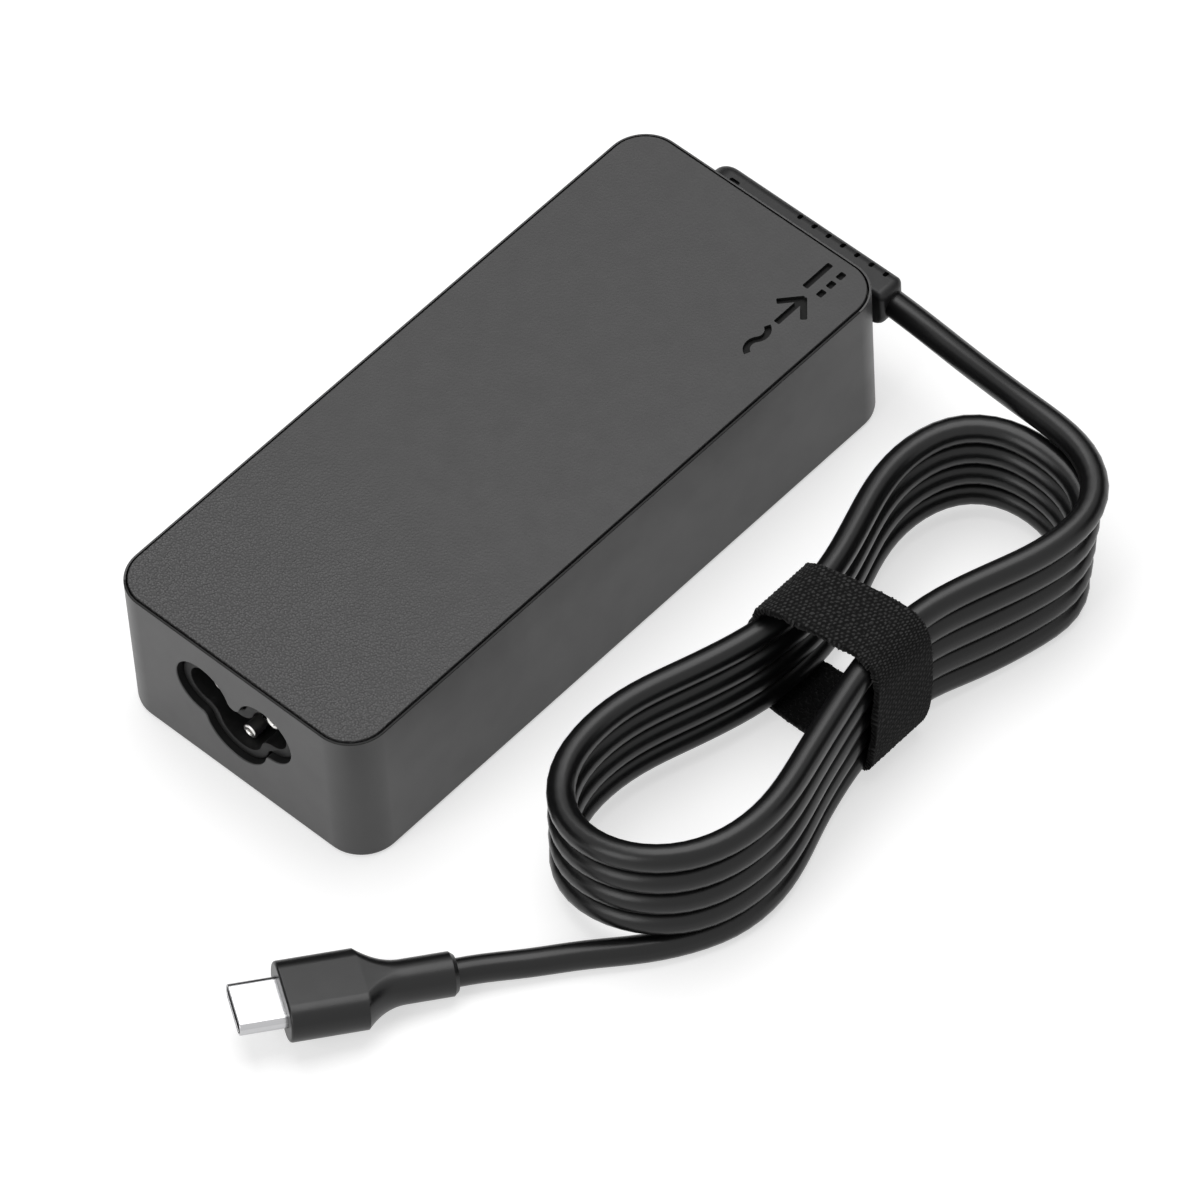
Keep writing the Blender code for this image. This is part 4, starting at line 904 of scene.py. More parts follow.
@dataclass
class Case:
    """The case: a deep shell, and the grained cover let into its rim.

    The boot's hole is a rod: its two ends, its radius and where it lies. Each bar of the signs is its
    length, its x, its place beside the signs' middle line and its turn.
    """

    size: tuple[float, float] = (108.0 * MM, 46.6 * MM)
    corner: float = 6.0 * MM
    top: float = 25.6 * MM
    rim_top: float = 25.4 * MM
    rim: float = 0.3 * MM
    rim_round: float = 0.12 * MM
    groove: float = 0.3 * MM
    cover_round: float = 0.15 * MM
    wall: float = 2.0 * MM
    floor: float = 2.0 * MM
    cover_low: float = 23.6 * MM
    ledge_top: float = 23.3 * MM
    sign_depth: float = 0.7 * MM
    sign_y: float = -15.8 * MM
    stroke: float = 1.0 * MM
    bar_corner: float = 0.2 * MM
    wave_radius: float = 1.75 * MM
    wave_lean: float = math.radians(50.0)
    wave_open: float = math.radians(155.0)
    bars: tuple[tuple[float, float, float, float], ...] = (
        (5.8 * MM, 41.8 * MM, 0.0, 0.0),
        (4.0 * MM, 43.25 * MM, -1.2 * MM, math.radians(42.0)),
        (4.0 * MM, 43.25 * MM, 1.2 * MM, -math.radians(42.0)),
        (5.4 * MM, 48.9 * MM, 1.25 * MM, 0.0),
        (1.3 * MM, 46.85 * MM, -1.25 * MM, 0.0),
        (1.3 * MM, 48.9 * MM, -1.25 * MM, 0.0),
        (1.3 * MM, 50.95 * MM, -1.25 * MM, 0.0),
    )
    wave_x: float = 35.0 * MM
    sign_middle: float = 42.0 * MM
    sign_reach: tuple[float, float] = (11.0 * MM, 4.5 * MM)
    foot_round: float = 0.8 * MM
    lip_round: float = 0.18 * MM
    lip_slack: float = 0.01 * MM
    inlet_reach: float = 12.0 * MM
    hole: tuple[float, float, float, float, float] = (50.0 * MM, 56.0 * MM, 3.1 * MM, 10.0 * MM, 16.9 * MM)
    # Width of the far sides' band where the rim's up-facing faces keep the satin finish rather than the
    # painted shade.
    unshaded_rim_band: float = 2.0 * MM

    def build(self, inlet: Inlet) -> None:
        """Makes the shell, with the inlet's opening in it, and the cover."""
        self.build_shell(inlet)
        self.build_cover()

    def build_shell(self, inlet: Inlet) -> None:
        """Makes the shell with its rim, its cavity, the inlet's opening and the boot's hole.

        Args:
            inlet: the inlet, whose opening the shell has.
        """
        shell = Shape.plate(self.size, self.corner, 0.0, self.rim_top)
        shell.rounded(shell.edges_at(2, 0.0), self.foot_round, 5)
        shell.rounded(shell.edges_at(2, self.rim_top), self.rim_round, 4)
        margin = self.rim - self.rim_round
        seat = shell.sunk(shell.faces_at(2, self.rim_top), margin, self.rim_top - self.ledge_top)
        shell.sunk(seat, self.wall - self.rim, self.ledge_top - self.floor)
        shell.combined(inlet.opening(), Join.CUT)
        lip = [e for e in shell.rims_at(0, inlet.wall_x) if abs(e.verts[0].co.y) < self.inlet_reach]
        shell.rounded(lip, self.lip_round, 3)
        shell.combined(Shape.rod(*self.hole), Join.CUT)
        for face in shell.bm.faces:
            face.material_index = self.shell_look(face, inlet)
        looks = (Look.CASE_SIDE, Look.RIM_PAINTED_SHADE, Look.RECESS_PAINTED_SHADE)
        publish(shell.piece("shell_satin", *looks), "case_plastic", "case_shell")

    def shell_look(self, face: bmesh.types.BMFace, inlet: Inlet) -> int:
        """Which finish a face of the shell wears.

        Args:
            face: the face.
            inlet: the inlet, whose opening the shell has.

        Returns:
            0 for satin, 1 for the rim's painted shade, 2 for the painted shade on the opening's wall.
        """
        middle = face.calc_center_median()
        # The rim's top and the groove's walls get the painted shade, except the up-facing faces along the
        # far sides.
        if min(v.co.z for v in face.verts) > self.ledge_top - CLOSE:
            far_x = self.size[0] / 2 - self.corner
            far_y = self.size[1] / 2 - self.unshaded_rim_band
            far = middle.x > far_x or middle.y > far_y
            return 0 if far and face.normal.z > TILTED else 1
        # The opening's wall behind its rounded lip gets the painted shade.
        behind_lip = inlet.wall_x + self.lip_round - self.lip_slack
        in_wall = behind_lip < middle.x < inlet.wall_x + self.wall and abs(middle.y) < self.inlet_reach
        level = self.floor < middle.z < self.ledge_top
        return 2 if in_wall and level and abs(face.normal.x) < UPRIGHT else 0

    def build_cover(self) -> None:
        """Makes the cover with its carved signs, with painted shade in their recesses."""
        inset = self.rim + self.groove
        size = (self.size[0] - 2 * inset, self.size[1] - 2 * inset)
        cover = Shape.plate(size, self.corner - inset, self.cover_low, self.top)
        cover.rounded(cover.edges_at(2, self.top), self.cover_round, 3)
        cover.combined(self.signs(), Join.CUT, crossing=True)
        floor = self.top - self.sign_depth
        # Painted shade on the floors and walls of the carved signs.
        for face in cover.faces_at(2, floor):
            face.material_index = 1
        for face in cover.bm.faces:
            middle = face.calc_center_median()
            reach_x, reach_y = self.sign_reach
            near = abs(middle.x - self.sign_middle) < reach_x and abs(middle.y - self.sign_y) < reach_y
            if near and abs(face.normal.z) < UPRIGHT and floor < middle.z < self.top:
                face.material_index = 1
        publish(cover.piece("cover_grained", Look.CASE_TOP, Look.RECESS_PAINTED_SHADE), "case_plastic", "case_cover")

    def bar(self, length: float, x: float, y: float, turn: float = 0.0) -> Shape:
        """A straight stroke of a sign.

        Args:
            length: its length.
            x: its middle, along the case.
            y: its middle, across the case.
            turn: its heading.

        Returns:
            The tool that carves it.
        """
        low = self.top - self.sign_depth
        made = Shape.plate((length, self.stroke), self.bar_corner, low, self.top + OVERCUT, segments=3)
        return made.moved(Matrix.Translation((x, y, 0.0)) @ Matrix.Rotation(turn, 4, "Z"))

    def wave(self) -> Shape:
        """The tool that carves the wavy sign of alternating current.

        Returns:
            The tool.
        """
        middle = Vector((self.wave_x, self.sign_y, self.top - self.sign_depth))
        sweep = self.wave_open - self.wave_lean
        way = Vector((math.cos(self.wave_lean), math.sin(self.wave_lean), 0.0)) * self.wave_radius
        begin = Vector((math.cos(self.wave_open), math.sin(self.wave_open), 0.0))
        begin *= self.wave_radius + self.stroke / 2
        first, second = middle - way, middle + way
        pen = Pen(first + begin, (0.0, 0.0, 1.0))
        pen.arc(first, -sweep).arc(second, sweep)
        pen.line(second - begin)
        pen.arc(second, -sweep).arc(first, sweep)
        return pen.fill().drawn_out(2, self.sign_depth + OVERCUT)

    def signs(self) -> Shape:
        """The tools that carve the signs: alternating current, an arrow, direct current.

        Returns:
            All tools in one mesh.
        """
        tools = self.wave()
        for length, x, aside, turn in self.bars:
            tools.with_shape(self.bar(length, x, self.sign_y + aside, turn))
        return tools


# Boot, cord and strap


@dataclass
class Boot:
    """The right-angle strain relief with its row of flexing slots, and the neck that holds it."""

    inner_x: float = 54.6 * MM
    outer_x: float = 59.7 * MM
    level: float = 16.9 * MM
    half_height: float = 3.7 * MM
    head_y: float = 10.0 * MM
    end_y: float = -21.2 * MM
    end_round: float = 1.3 * MM
    slot_count: int = 7
    slot_pitch: float = 2.67 * MM
    slot_back: float = 2.5 * MM
    slot_size: Point = (1.0 * MM, 0.7 * MM, 1.2 * MM)
    slot_aside: float = 1.15 * MM
    low_round: float = 2.8 * MM
    slot_corner: float = 0.25 * MM
    outer_share: float = 0.75
    head_slot: tuple[float, float] = (56.95 * MM, 8.65 * MM)
    head_slot_size: tuple[float, float] = (0.9 * MM, 1.7 * MM)
    outer_round: float = 1.7 * MM
    inner_round: float = 0.85 * MM
    neck: tuple[float, float, float] = (51.0 * MM, 57.0 * MM, 2.8 * MM)

    def build(self) -> None:
        """Makes the boot."""
        x = self.inner_x
        low = self.level - self.half_height
        high = self.level + self.half_height
        turn = math.pi / 2
        inner = self.end_y + self.end_round
        under = self.end_y + self.low_round
        pen = Pen((x, self.head_y, low), (1.0, 0.0, 0.0))
        pen.arc((x, self.head_y, self.level), math.pi)
        pen.line((x, inner, high)).arc((x, inner, high - self.end_round), turn)
        pen.line((x, self.end_y, low + self.low_round)).arc((x, under, low + self.low_round), turn)
        arm = pen.fill().drawn_out(0, self.outer_x - x)
        arm.rounded(arm.edges_at(0, self.outer_x), self.outer_round, 7)
        arm.rounded(arm.edges_at(0, x), self.inner_round, 4)
        arm.combined(Shape.rod(*self.neck, self.head_y, self.level), Join.UNITE)
        arm.combined(self.slots(), Join.CUT)
        publish(arm.piece("boot_ribbed", Look.BOOT, sharp=32.0), "boot_rubber", "boot")

    def slots(self) -> Shape:
        """The tools that cut the slots in the upper, lower and outer faces.

        Returns:
            All tools in one mesh.
        """
        long, wide, deep = self.slot_size
        x = (self.inner_x + self.outer_x) / 2 + self.slot_aside
        tools = Shape()
        for k in range(self.slot_count):
            y = self.end_y + self.slot_back + self.slot_pitch * k
            for side in (-1, 1):
                z = self.level + side * (self.half_height - deep / 2 + OVERCUT)
                tools.with_shape(self.slot((long, wide, deep + 2 * OVERCUT), (x, y, z), 2))
            if k < self.slot_count - 1:
                x_out = self.outer_x - deep * self.outer_share + OVERCUT
                place = (x_out, y + self.slot_pitch / 2, self.level)
                tools.with_shape(self.slot((2 * OVERCUT, wide, self.half_height), place, 0))
        head = (*self.head_slot, self.level + self.half_height)
        tools.with_shape(self.slot((*self.head_slot_size, deep), head, 2))
        return tools

    def slot(self, size: Point, centre: Point, axis: int) -> Shape:
        """The tool for one slot, with its corners rounded along the axis on which it cuts."""
        made = Shape.block(size, centre)
        return made.rounded(made.edges_along(axis), self.slot_corner, 2)


@dataclass
class Cord:
    """The cord: from the boot into a tied hank of five turns, and on to the plug.

    Routes are in millimetres, as seen from above. The near side of a turn runs from right to left,
    the far side from left to right.
    """

    diameter: float = 4.0 * MM
    top_level: float = 19.4
    pitch: float = 4.35
    turns: int = 5
    strap_x: tuple[float, float] = (2.7, 15.3)
    strap_lift: float = 3.3
    spacing: float = 2.0
    smoothing: int = 12
    shrink: float = 0.5
    swell: float = -0.52
    plug_collar: Point = (-59.72, -45.75, 3.05)
    collar_run: float = 2.0
    hold_fade: float = 14.0
    right_x: float = 50.0
    left_x: float = -40.0
    above_share: float = 0.5
    below_share: float = 0.45
    lead_in: tuple[Point, ...] = (
        (57.3, -20.2, 16.9), (57.2, -23.0, 16.9), (56.9, -26.5, 17.0), (56.5, -30.5, 17.2),
        (56.0, -34.5, 17.5), (55.5, -38.6, 17.9), (55.0, -42.6, 18.4), (54.5, -46.3, 18.9),
        (54.2, -50.1, 19.2), (53.9, -54.0, 19.4), (53.3, -58.0, 19.4), (51.9, -61.7, 19.4),
        (49.3, -65.1, 19.4), (45.6, -67.1, 19.4), (41.6, -67.6, 19.4),
    )
    near_end: Plan = (
        (50.4, -54.0), (50.0, -57.4), (48.8, -60.6), (46.8, -63.5), (44.1, -65.7), (41.0, -67.0),
    )
    near_side: Plan = (
        (37.6, -67.2), (34.4, -66.5), (31.2, -65.4), (28.0, -64.3), (24.8, -63.2), (21.4, -62.2),
        (18.0, -61.5), (14.0, -61.2), (9.0, -61.3), (4.0, -62.1), (0.0, -63.0), (-4.0, -64.1),
        (-8.0, -65.1), (-11.8, -66.2), (-15.6, -67.2), (-19.4, -67.9), (-23.3, -68.0), (-27.1, -67.5),
        (-30.6, -66.3),
    )
    left_end: Plan = (
        (-33.7, -64.5), (-36.3, -62.0), (-38.2, -58.9), (-39.3, -55.3), (-39.5, -51.6), (-38.7, -48.1),
        (-37.0, -45.1), (-34.5, -42.7),
    )
    far_side: Plan = (
        (-31.6, -41.0), (-28.5, -40.1), (-25.1, -39.7), (-21.8, -39.7), (-18.5, -40.1), (-15.3, -40.9),
        (-12.1, -41.9), (-8.9, -43.0), (-5.6, -44.0), (-2.2, -45.0), (1.4, -45.8), (5.2, -46.3),
        (9.2, -46.5), (13.2, -46.3), (17.2, -45.6), (21.1, -44.5), (25.0, -43.2), (28.8, -41.9),
        (32.5, -40.9), (36.1, -40.4), (39.6, -40.6),
    )
    right_end: Plan = (
        (42.8, -41.5), (45.6, -43.0), (47.9, -45.2), (49.5, -47.9), (50.3, -50.9),
    )
    lead_out: Plan = (
        (-34.3, -65.3), (-38.1, -62.9), (-41.7, -59.9), (-45.4, -56.5), (-49.1, -53.5), (-52.8, -50.7),
        (-56.1, -48.0),
    )
    lead_out_rise: tuple[float, float] = (2.15, 2.6)
    near_sag: Plan = (
        (-31.0, -0.85), (-19.0, -0.1), (-8.0, 0.8), (0.0, 0.5), (5.0, 0.0), (16.0, 0.0), (22.0, -0.6),
        (28.0, -0.3), (38.0, 0.5),
    )
    far_sag: Plan = (
        (-32.0, -0.1), (-18.0, -0.6), (-10.0, -0.65), (0.0, -0.5), (12.0, 0.0), (29.0, 0.45), (40.0, 0.0),
    )
    left_lean: Plan = (
        (-0.3, -0.75), (-0.45, -0.6), (-0.5, -0.4), (-0.55, -0.2), (-0.55, 0.0), (-0.45, 0.1),
        (-0.3, 0.15), (-0.1, 0.1),
    )
    right_lean: Plan = (
        (0.3, 0.2), (0.5, 0.2), (0.6, 0.05), (0.7, -0.1), (0.8, -0.3),
    )
    near_end_lean: Plan = (
        (0.9, -0.6), (1.1, -1.0), (1.1, -1.3), (1.0, -1.3), (0.6, -1.1), (0.2, -0.7),
    )

    def level_near(self, turn: int, x: float) -> float:
        """Height of the near side's strand of a turn, lifted where the strap passes under it.

        Args:
            turn: the turn, counted from the top.
            x: the place along the hank.

        Returns:
            The height.
        """
        free = self.top_level - self.pitch * turn
        lowest = self.top_level - self.pitch * (self.turns - 1)
        squeeze = (self.top_level - self.strap_lift) / (self.top_level - lowest)
        held = self.strap_lift + (free - lowest) * squeeze
        return free + (held - free) * self.share_held(x)

    def level_far(self, turn: int) -> float:
        """Height of the far side's strand of a turn."""
        return self.top_level - self.pitch * (turn + 0.5)

    def share_held(self, x: float) -> float:
        """How fully the strap holds the strands at a place along the hank, from 0 to 1."""
        away = max(self.strap_x[0] - x, x - self.strap_x[1], 0.0)
        return (1.0 + math.cos(math.pi * min(1.0, away / self.hold_fade))) / 2

    def sagged(self, plan: Plan, sag: Plan, share: float) -> Plan:
        """Moves a plan sideways by a share of the lowest turn's sag.

        Args:
            plan: the points as seen from above.
            sag: pairs of a place along the hank and the sag there.
            share: the share.

        Returns:
            The moved plan.
        """
        moved = []
        for x, y in plan:
            clamped = min(max(x, sag[0][0]), sag[-1][0])
            for (start, low), (stop, high) in zip(sag, sag[1:]):
                if start <= clamped <= stop:
                    y += share * (low + (high - low) * (clamped - start) / (stop - start))
                    break
            moved.append((x, y))
        return moved

    def leaned(self, plan: Plan, lean: Plan, share: float) -> Plan:
        """A plan with a share of a lean added to each of its points."""
        return [(x + share * dx, y + share * dy) for (x, y), (dx, dy) in zip(plan, lean)]

    def route(self) -> list[Vector]:
        """Runs the cord from the boot through the hank to the plug.

        Returns:
            Its centreline in metres, evenly spaced and smoothed.
        """
        knots = [Vector(p) for p in self.lead_in]
        lowest = self.turns - 1
        for turn in range(self.turns):
            if turn:
                bulge = (lowest - turn) / (lowest - 1)
                plan = self.leaned(self.near_end, self.near_end_lean, bulge)
                above = self.level_far(turn - 1)
                knots += self.ramp(plan, above, self.level_near(turn, self.right_x), self.above_share)
            plan = self.sagged(self.near_side, self.near_sag, turn / lowest)
            knots += [Vector((x, y, self.level_near(turn, x))) for x, y in plan]
            if turn == lowest:
                break
            last = self.level_far(turn)
            depth = turn / (lowest - 1)
            plan = self.leaned(self.left_end, self.left_lean, depth)
            knots += self.ramp(plan, self.level_near(turn, self.left_x), last, 0.0)
            knots += [Vector((x, y, last)) for x, y in self.sagged(self.far_side, self.far_sag, depth)]
            plan = self.leaned(self.right_end, self.right_lean, 1.0 - depth)
            below = self.level_near(turn + 1, self.right_x)
            knots += self.ramp(plan, last, below, 0.0, self.below_share)
        levels = [self.diameter / MM / 2] * (len(self.lead_out) - 2) + list(self.lead_out_rise)
        knots += [Vector((*spot, z)) for spot, z in zip(self.lead_out, levels)]
        stop = Vector(self.plug_collar)
        knots += [stop, stop + (stop - knots[-1]).normalized() * self.collar_run]
        return self.evened(knots)

    def ramp(
        self, plan: Plan, first: float, last: float, begin: float, end: float = 1.0
    ) -> list[Vector]:
        """Points along a plan that change level evenly.

        Args:
            plan: the points as seen from above.
            first: the level where the ramp as a whole starts.
            last: the level where it ends.
            begin: share of the ramp that lies before these points.
            end: share of it that they reach.

        Returns:
            The points.
        """
        made = []
        for k, (x, y) in enumerate(plan):
            share = begin + (end - begin) * k / (len(plan) - 1)
            made.append(Vector((x, y, first + (last - first) * (1 - math.cos(math.pi * share)) / 2)))
        return made

    def evened(self, knots: list[Vector]) -> list[Vector]:
        """Spaces points evenly along the knots and smooths them.

        Args:
            knots: the points of the route in millimetres.

        Returns:
            The points in metres.
        """
        fixed = (knots[0].copy(), knots[-1].copy())
        lengths = [0.0]
        for a, b in zip(knots, knots[1:]):
            lengths.append(lengths[-1] + (b - a).length)
        count = round(lengths[-1] / self.spacing)
        points, index = [], 0
        for k in range(count + 1):
            along = lengths[-1] * k / count
            while index < len(lengths) - 2 and lengths[index + 1] < along:
                index += 1
            share = (along - lengths[index]) / (lengths[index + 1] - lengths[index])
            points.append(knots[index].lerp(knots[index + 1], share))
        for weight in (self.shrink, self.swell) * self.smoothing:
            inner = [b.lerp((a + c) / 2, weight) for a, b, c in zip(points, points[1:], points[2:])]
            points = [fixed[0], *inner, fixed[1]]
        return [p * MM for p in points]

    def build(self, with_pieces: Sequence[bpy.types.Object | str]) -> bpy.types.Object:
        """Args:
            with_pieces: the pieces that lie on it; not used.

        Returns:
            The cord.
        """
        points = self.route()
        curve = bpy.data.curves.new("cord", "CURVE")
        curve.dimensions = "3D"
        curve.bevel_depth = self.diameter / 2
        curve.bevel_resolution = 6
        curve.use_fill_caps = True
        spline = curve.splines.new("POLY")
        spline.points.add(len(points) - 1)
        for point, place in zip(spline.points, points):
            point.co = (*place, 1.0)
        spline.use_smooth = True
        curve.materials.append(Look.JACKET.material())
        made = placed("cord", curve)
        publish(made, "cord_jacket", "cord_lead_in", "cord_hank", "cord_lead_out")
        return made


@dataclass
class Strap:
    """The hook-and-loop tie round the hank's waist.

    Each station is (y, z, low x, high x) of the band's outer face in millimetres.
    """

    thickness: float = 1.0 * MM
    around: int = 560
    across: int = 64
    loop_pitch: float = 0.62 * MM
    loop_turn: float = math.radians(24.0)
    loop_height: float = 0.17 * MM
    fray: float = 0.14 * MM
    frayed_from: float = 0.94
    drift: float = 0.24 * MM
    drift_pace: float = 1100.0
    worn_pace: float = 1700.0
    worn_to: float = 0.8
    fray_bias: float = 0.6
    seed: int = 7
    stations: tuple[tuple[float, float, float, float], ...] = (
        (-43.8, 18.4, 2.6, 12.8), (-44.7, 21.1, 2.5, 12.8), (-46.7, 22.3, 2.8, 13.1),
        (-50.4, 22.7, 3.4, 13.8), (-54.6, 22.8, 4.0, 14.5), (-58.8, 22.8, 4.6, 15.1),
        (-62.2, 22.6, 4.8, 15.3), (-64.4, 21.6, 4.7, 15.1), (-65.5, 19.2, 4.3, 14.9),
        (-65.8, 15.0, 3.7, 14.8), (-65.9, 10.0, 3.0, 14.5), (-65.7, 5.5, 2.5, 14.0),
        (-64.8, 2.3, 2.5, 13.4), (-62.6, 0.6, 2.6, 13.2), (-58.0, 0.1, 2.6, 13.1),
        (-52.0, 0.05, 2.5, 13.0), (-46.2, 0.3, 2.5, 12.9), (-43.5, 1.9, 2.6, 12.8),
        (-42.4, 5.0, 2.6, 12.8), (-42.2, 10.0, 2.6, 12.8), (-42.5, 15.0, 2.6, 12.8),
    )

    def girth(self) -> float:
        """The way round the band in metres."""
        ring = [Vector(self.station(k / self.around)[:2]) for k in range(self.around)]
        return sum((b - a).length for a, b in zip(ring, ring[1:] + ring[:1])) * MM

    def loop(self, along: float, over: float) -> float:
        """Height of the loops, from 0 to 1.

        Args:
            along: way round the band in metres.
            over: way across it in metres.

        Returns:
            The height.
        """
        drift = noise.noise_vector(Vector((along, over, 0.0)) * self.drift_pace) * self.drift
        rows = 3
        total = 0.0
        for k in range(rows):
            turn = self.loop_turn + math.pi * k / rows
            reach = (along + drift.x) * math.cos(turn) + (over + drift.y) * math.sin(turn)
            total += math.cos(math.tau * reach / self.loop_pitch)
        strength = self.worn_to + self.worn_to * noise.noise(Vector((along, over, 1.0)) * self.worn_pace)
        return min(1.0, max(0.0, strength * (total + rows / 2) / (rows * 1.5)))

    def station(self, along: float) -> tuple[float, float, float, float]:
        """Finds the band's place on a smooth closed curve.

        Args:
            along: the share of the way round.

        Returns:
            The station there.
        """
        count = len(self.stations)
        at = along * count
        k = int(at) % count
        t = at - int(at)
        a, b, c, d = (self.stations[(k + n) % count] for n in (-1, 0, 1, 2))
        return tuple(
            0.5 * (2 * q + (r - p) * t + (2 * p - 5 * q + 4 * r - s) * t**2 + (3 * q - p - 3 * r + s) * t**3)
            for p, q, r, s in zip(a, b, c, d)
        )

    def build(self) -> bpy.types.Object:
        """Makes the band.

        Returns:
            The strap.
        """
        noise.seed_set(self.seed)
        made = Shape()
        bmesh.ops.create_grid(
            made.bm, x_segments=self.around, y_segments=self.across, size=0.5, calc_uvs=True
        )
        layer = made.bm.verts.layers.float.new(Look.STRAP.attribute)
        girth = self.girth()
        for vert in made.bm.verts:
            along, over = (vert.co.x + 0.5) % 1.0, vert.co.y + 0.5
            y, z, low, high = self.station(along)
            loop = self.loop(along * girth, over * (high - low) * MM)
            edge = max(0.0, abs(over - 0.5) * 2 - self.frayed_from) / (1 - self.frayed_from)
            tooth = math.copysign(edge * self.fray * (2 * loop - self.fray_bias), over - 0.5)
            vert.co = Vector(((low + (high - low) * over) * MM + tooth, y * MM, z * MM))
            vert[layer] = loop
        bmesh.ops.remove_doubles(made.bm, verts=made.bm.verts, dist=CLOSE)
        made.outward()
        made.bm.normal_update()
        for vert, normal in [(v, v.normal.copy()) for v in made.bm.verts]:
            vert.co += normal * (self.loop_height * (vert[layer] - 0.5))
        band = made.piece("tie_strap", Look.STRAP, sharp=60.0)
        modifier = band.modifiers.new("thickness", "SOLIDIFY")
        modifier.thickness = self.thickness
        modifier.offset = -1.0
        return publish(band, "strap_weave", "strap")


# Plug


@dataclass
class Plug:
    """The moulded plug: body, flare and neck, with its bright contact shell.

    Its neck rests on the floor, and the stiff cord holds its front face a little off it.
    """

    face: tuple[float, float] = (-79.9 * MM, -32.9 * MM)
    heading: float = math.radians(147.5)
    pitch: float = math.radians(7.0)
    width: float = 12.35 * MM
    thickness: float = 6.5 * MM
    body: float = 10.9 * MM
    flare: float = 6.0 * MM
    length: float = 24.1 * MM
    neck_radius: float = 3.1 * MM
    edge: float = 0.4 * MM
    mouth_width: float = 8.25 * MM
    mouth_height: float = 2.4 * MM
    mouth_wall: float = 0.3 * MM
    mouth_reach: float = 6.65 * MM
    mouth_root: float = 3.6 * MM
    mouth_slack: float = 0.06 * MM
    sides: int = 64
    edge_steps: int = 4
    flare_steps: int = 14
    flare_power: float = 2.1
    neck_rounds: tuple[float, ...] = (0.0, 0.28 * MM, 0.62 * MM)
    neck_taper: float = 0.8

    def place(self) -> Matrix:
        """Where the plug lies. It is built with its front face at the origin, looking along +X.

        Returns:
            The turn and shift that lay it there.
        """
        height = (self.length - self.edge) * math.sin(self.pitch) + self.neck_radius * math.cos(self.pitch)
        turn = Matrix.Rotation(self.heading, 4, "Z") @ Matrix.Rotation(-self.pitch, 4, "Y")
        return Matrix.Translation((*self.face, height)) @ turn

    def ring(
        self, shape: Shape, x: float, half_width: float, half_height: float
    ) -> list[bmesh.types.BMEdge]:
        """Adds a section: a circle pulled apart into an oval with flat sides.

        Args:
            shape: where it is added.
            x: its level along the plug.
            half_width: half its width.
            half_height: half its height.

        Returns:
            Its edges.
        """
        radius = min(half_width, half_height)
        turn = Matrix.Rotation(math.pi / 2, 4, "Y") @ Matrix.Rotation(math.pi / self.sides, 4, "Z")
        matrix = Matrix.Translation((x, 0.0, 0.0)) @ turn
        made = bmesh.ops.create_circle(shape.bm, segments=self.sides, radius=radius, matrix=matrix)["verts"]
        for vert in made:
            vert.co.y += math.copysign(half_width - radius, vert.co.y)
        return list({e for v in made for e in v.link_edges})

    def oblong(self, stations: Sequence[tuple[float, float, float]]) -> Shape:
        """A closed body through a row of sections.

        Args:
            stations: (x, half width, half height) of each section.

        Returns:
            The shape.
        """
        made = Shape()
        rings = [self.ring(made, *station) for station in stations]
        for first, second in zip(rings, rings[1:]):
            bmesh.ops.bridge_loops(made.bm, edges=first + second)
        bmesh.ops.holes_fill(made.bm, edges=made.bm.edges[:], sides=0)
        return made.outward()

    def stations(self) -> list[tuple[float, float, float]]:
        """Lists the sections of the body, from its front face to the neck's end.

        Returns:
            (x, half width, half height) of each section.
        """
        wide, high, neck = self.width / 2, self.thickness / 2, self.neck_radius
        made = []
        for k in range(self.edge_steps + 1):
            turn = math.pi / 2 * k / self.edge_steps
            inset = self.edge * (1 - math.sin(turn))
            made.append((-self.edge * (1 - math.cos(turn)), wide - inset, high - inset))
        for k in range(self.flare_steps + 1):
            share = k / self.flare_steps
            left = (1 - share) ** self.flare_power
            x = -self.body - self.flare * share
            made.append((x, neck + (wide - neck) * left, neck + (high - neck) * left))
        for inset in self.neck_rounds:
            radius = neck - inset * self.neck_taper
            made.append((-self.length + self.neck_rounds[-1] - inset, radius, radius))
        return made

    def build(self) -> list[bpy.types.Object]:
        """Makes the overmould and the contact shell.

        Returns:
            The two pieces.
        """
        body = self.oblong(self.stations())
        slack = self.mouth_slack
        mouth = (self.mouth_width / 2 + slack, self.mouth_height / 2 + slack)
        body.combined(self.oblong([(-self.mouth_root - slack, *mouth), (OVERCUT, *mouth)]), Join.CUT)
        body.moved(self.place())
        overmould = body.piece("plug_overmould", Look.PLUG, sharp=30.0)
        steel = self.shell().moved(self.place()).piece("plug_mouth", Look.STEEL, sharp=50.0)
        return [
            publish(overmould, "plug_rubber", "plug_body"),
            publish(steel, "bright_steel", "plug_contact_shell"),
        ]

    def shell(self) -> Shape:
        """The drawn metal mouth with its rounded rim.

        Returns:
            The shape.
        """
        made = Shape()
        wide, high, wall = self.mouth_width / 2, self.mouth_height / 2, self.mouth_wall
        sections = [(-self.mouth_root, 0.0)]
        for k in range(HALF_ROUND):
            turn = math.pi * k / (HALF_ROUND - 1)
            reach = self.mouth_reach - wall / 2 * (1 - math.sin(turn))
            sections.append((reach, wall / 2 * (1 - math.cos(turn))))
        sections.append((-self.mouth_root, wall))
        rings = [self.ring(made, x, wide - inset, high - inset) for x, inset in sections]
        for first, second in zip(rings, rings[1:] + rings[:1]):
            bmesh.ops.bridge_loops(made.bm, edges=first + second)
        return made.outward()


# Inside and studio


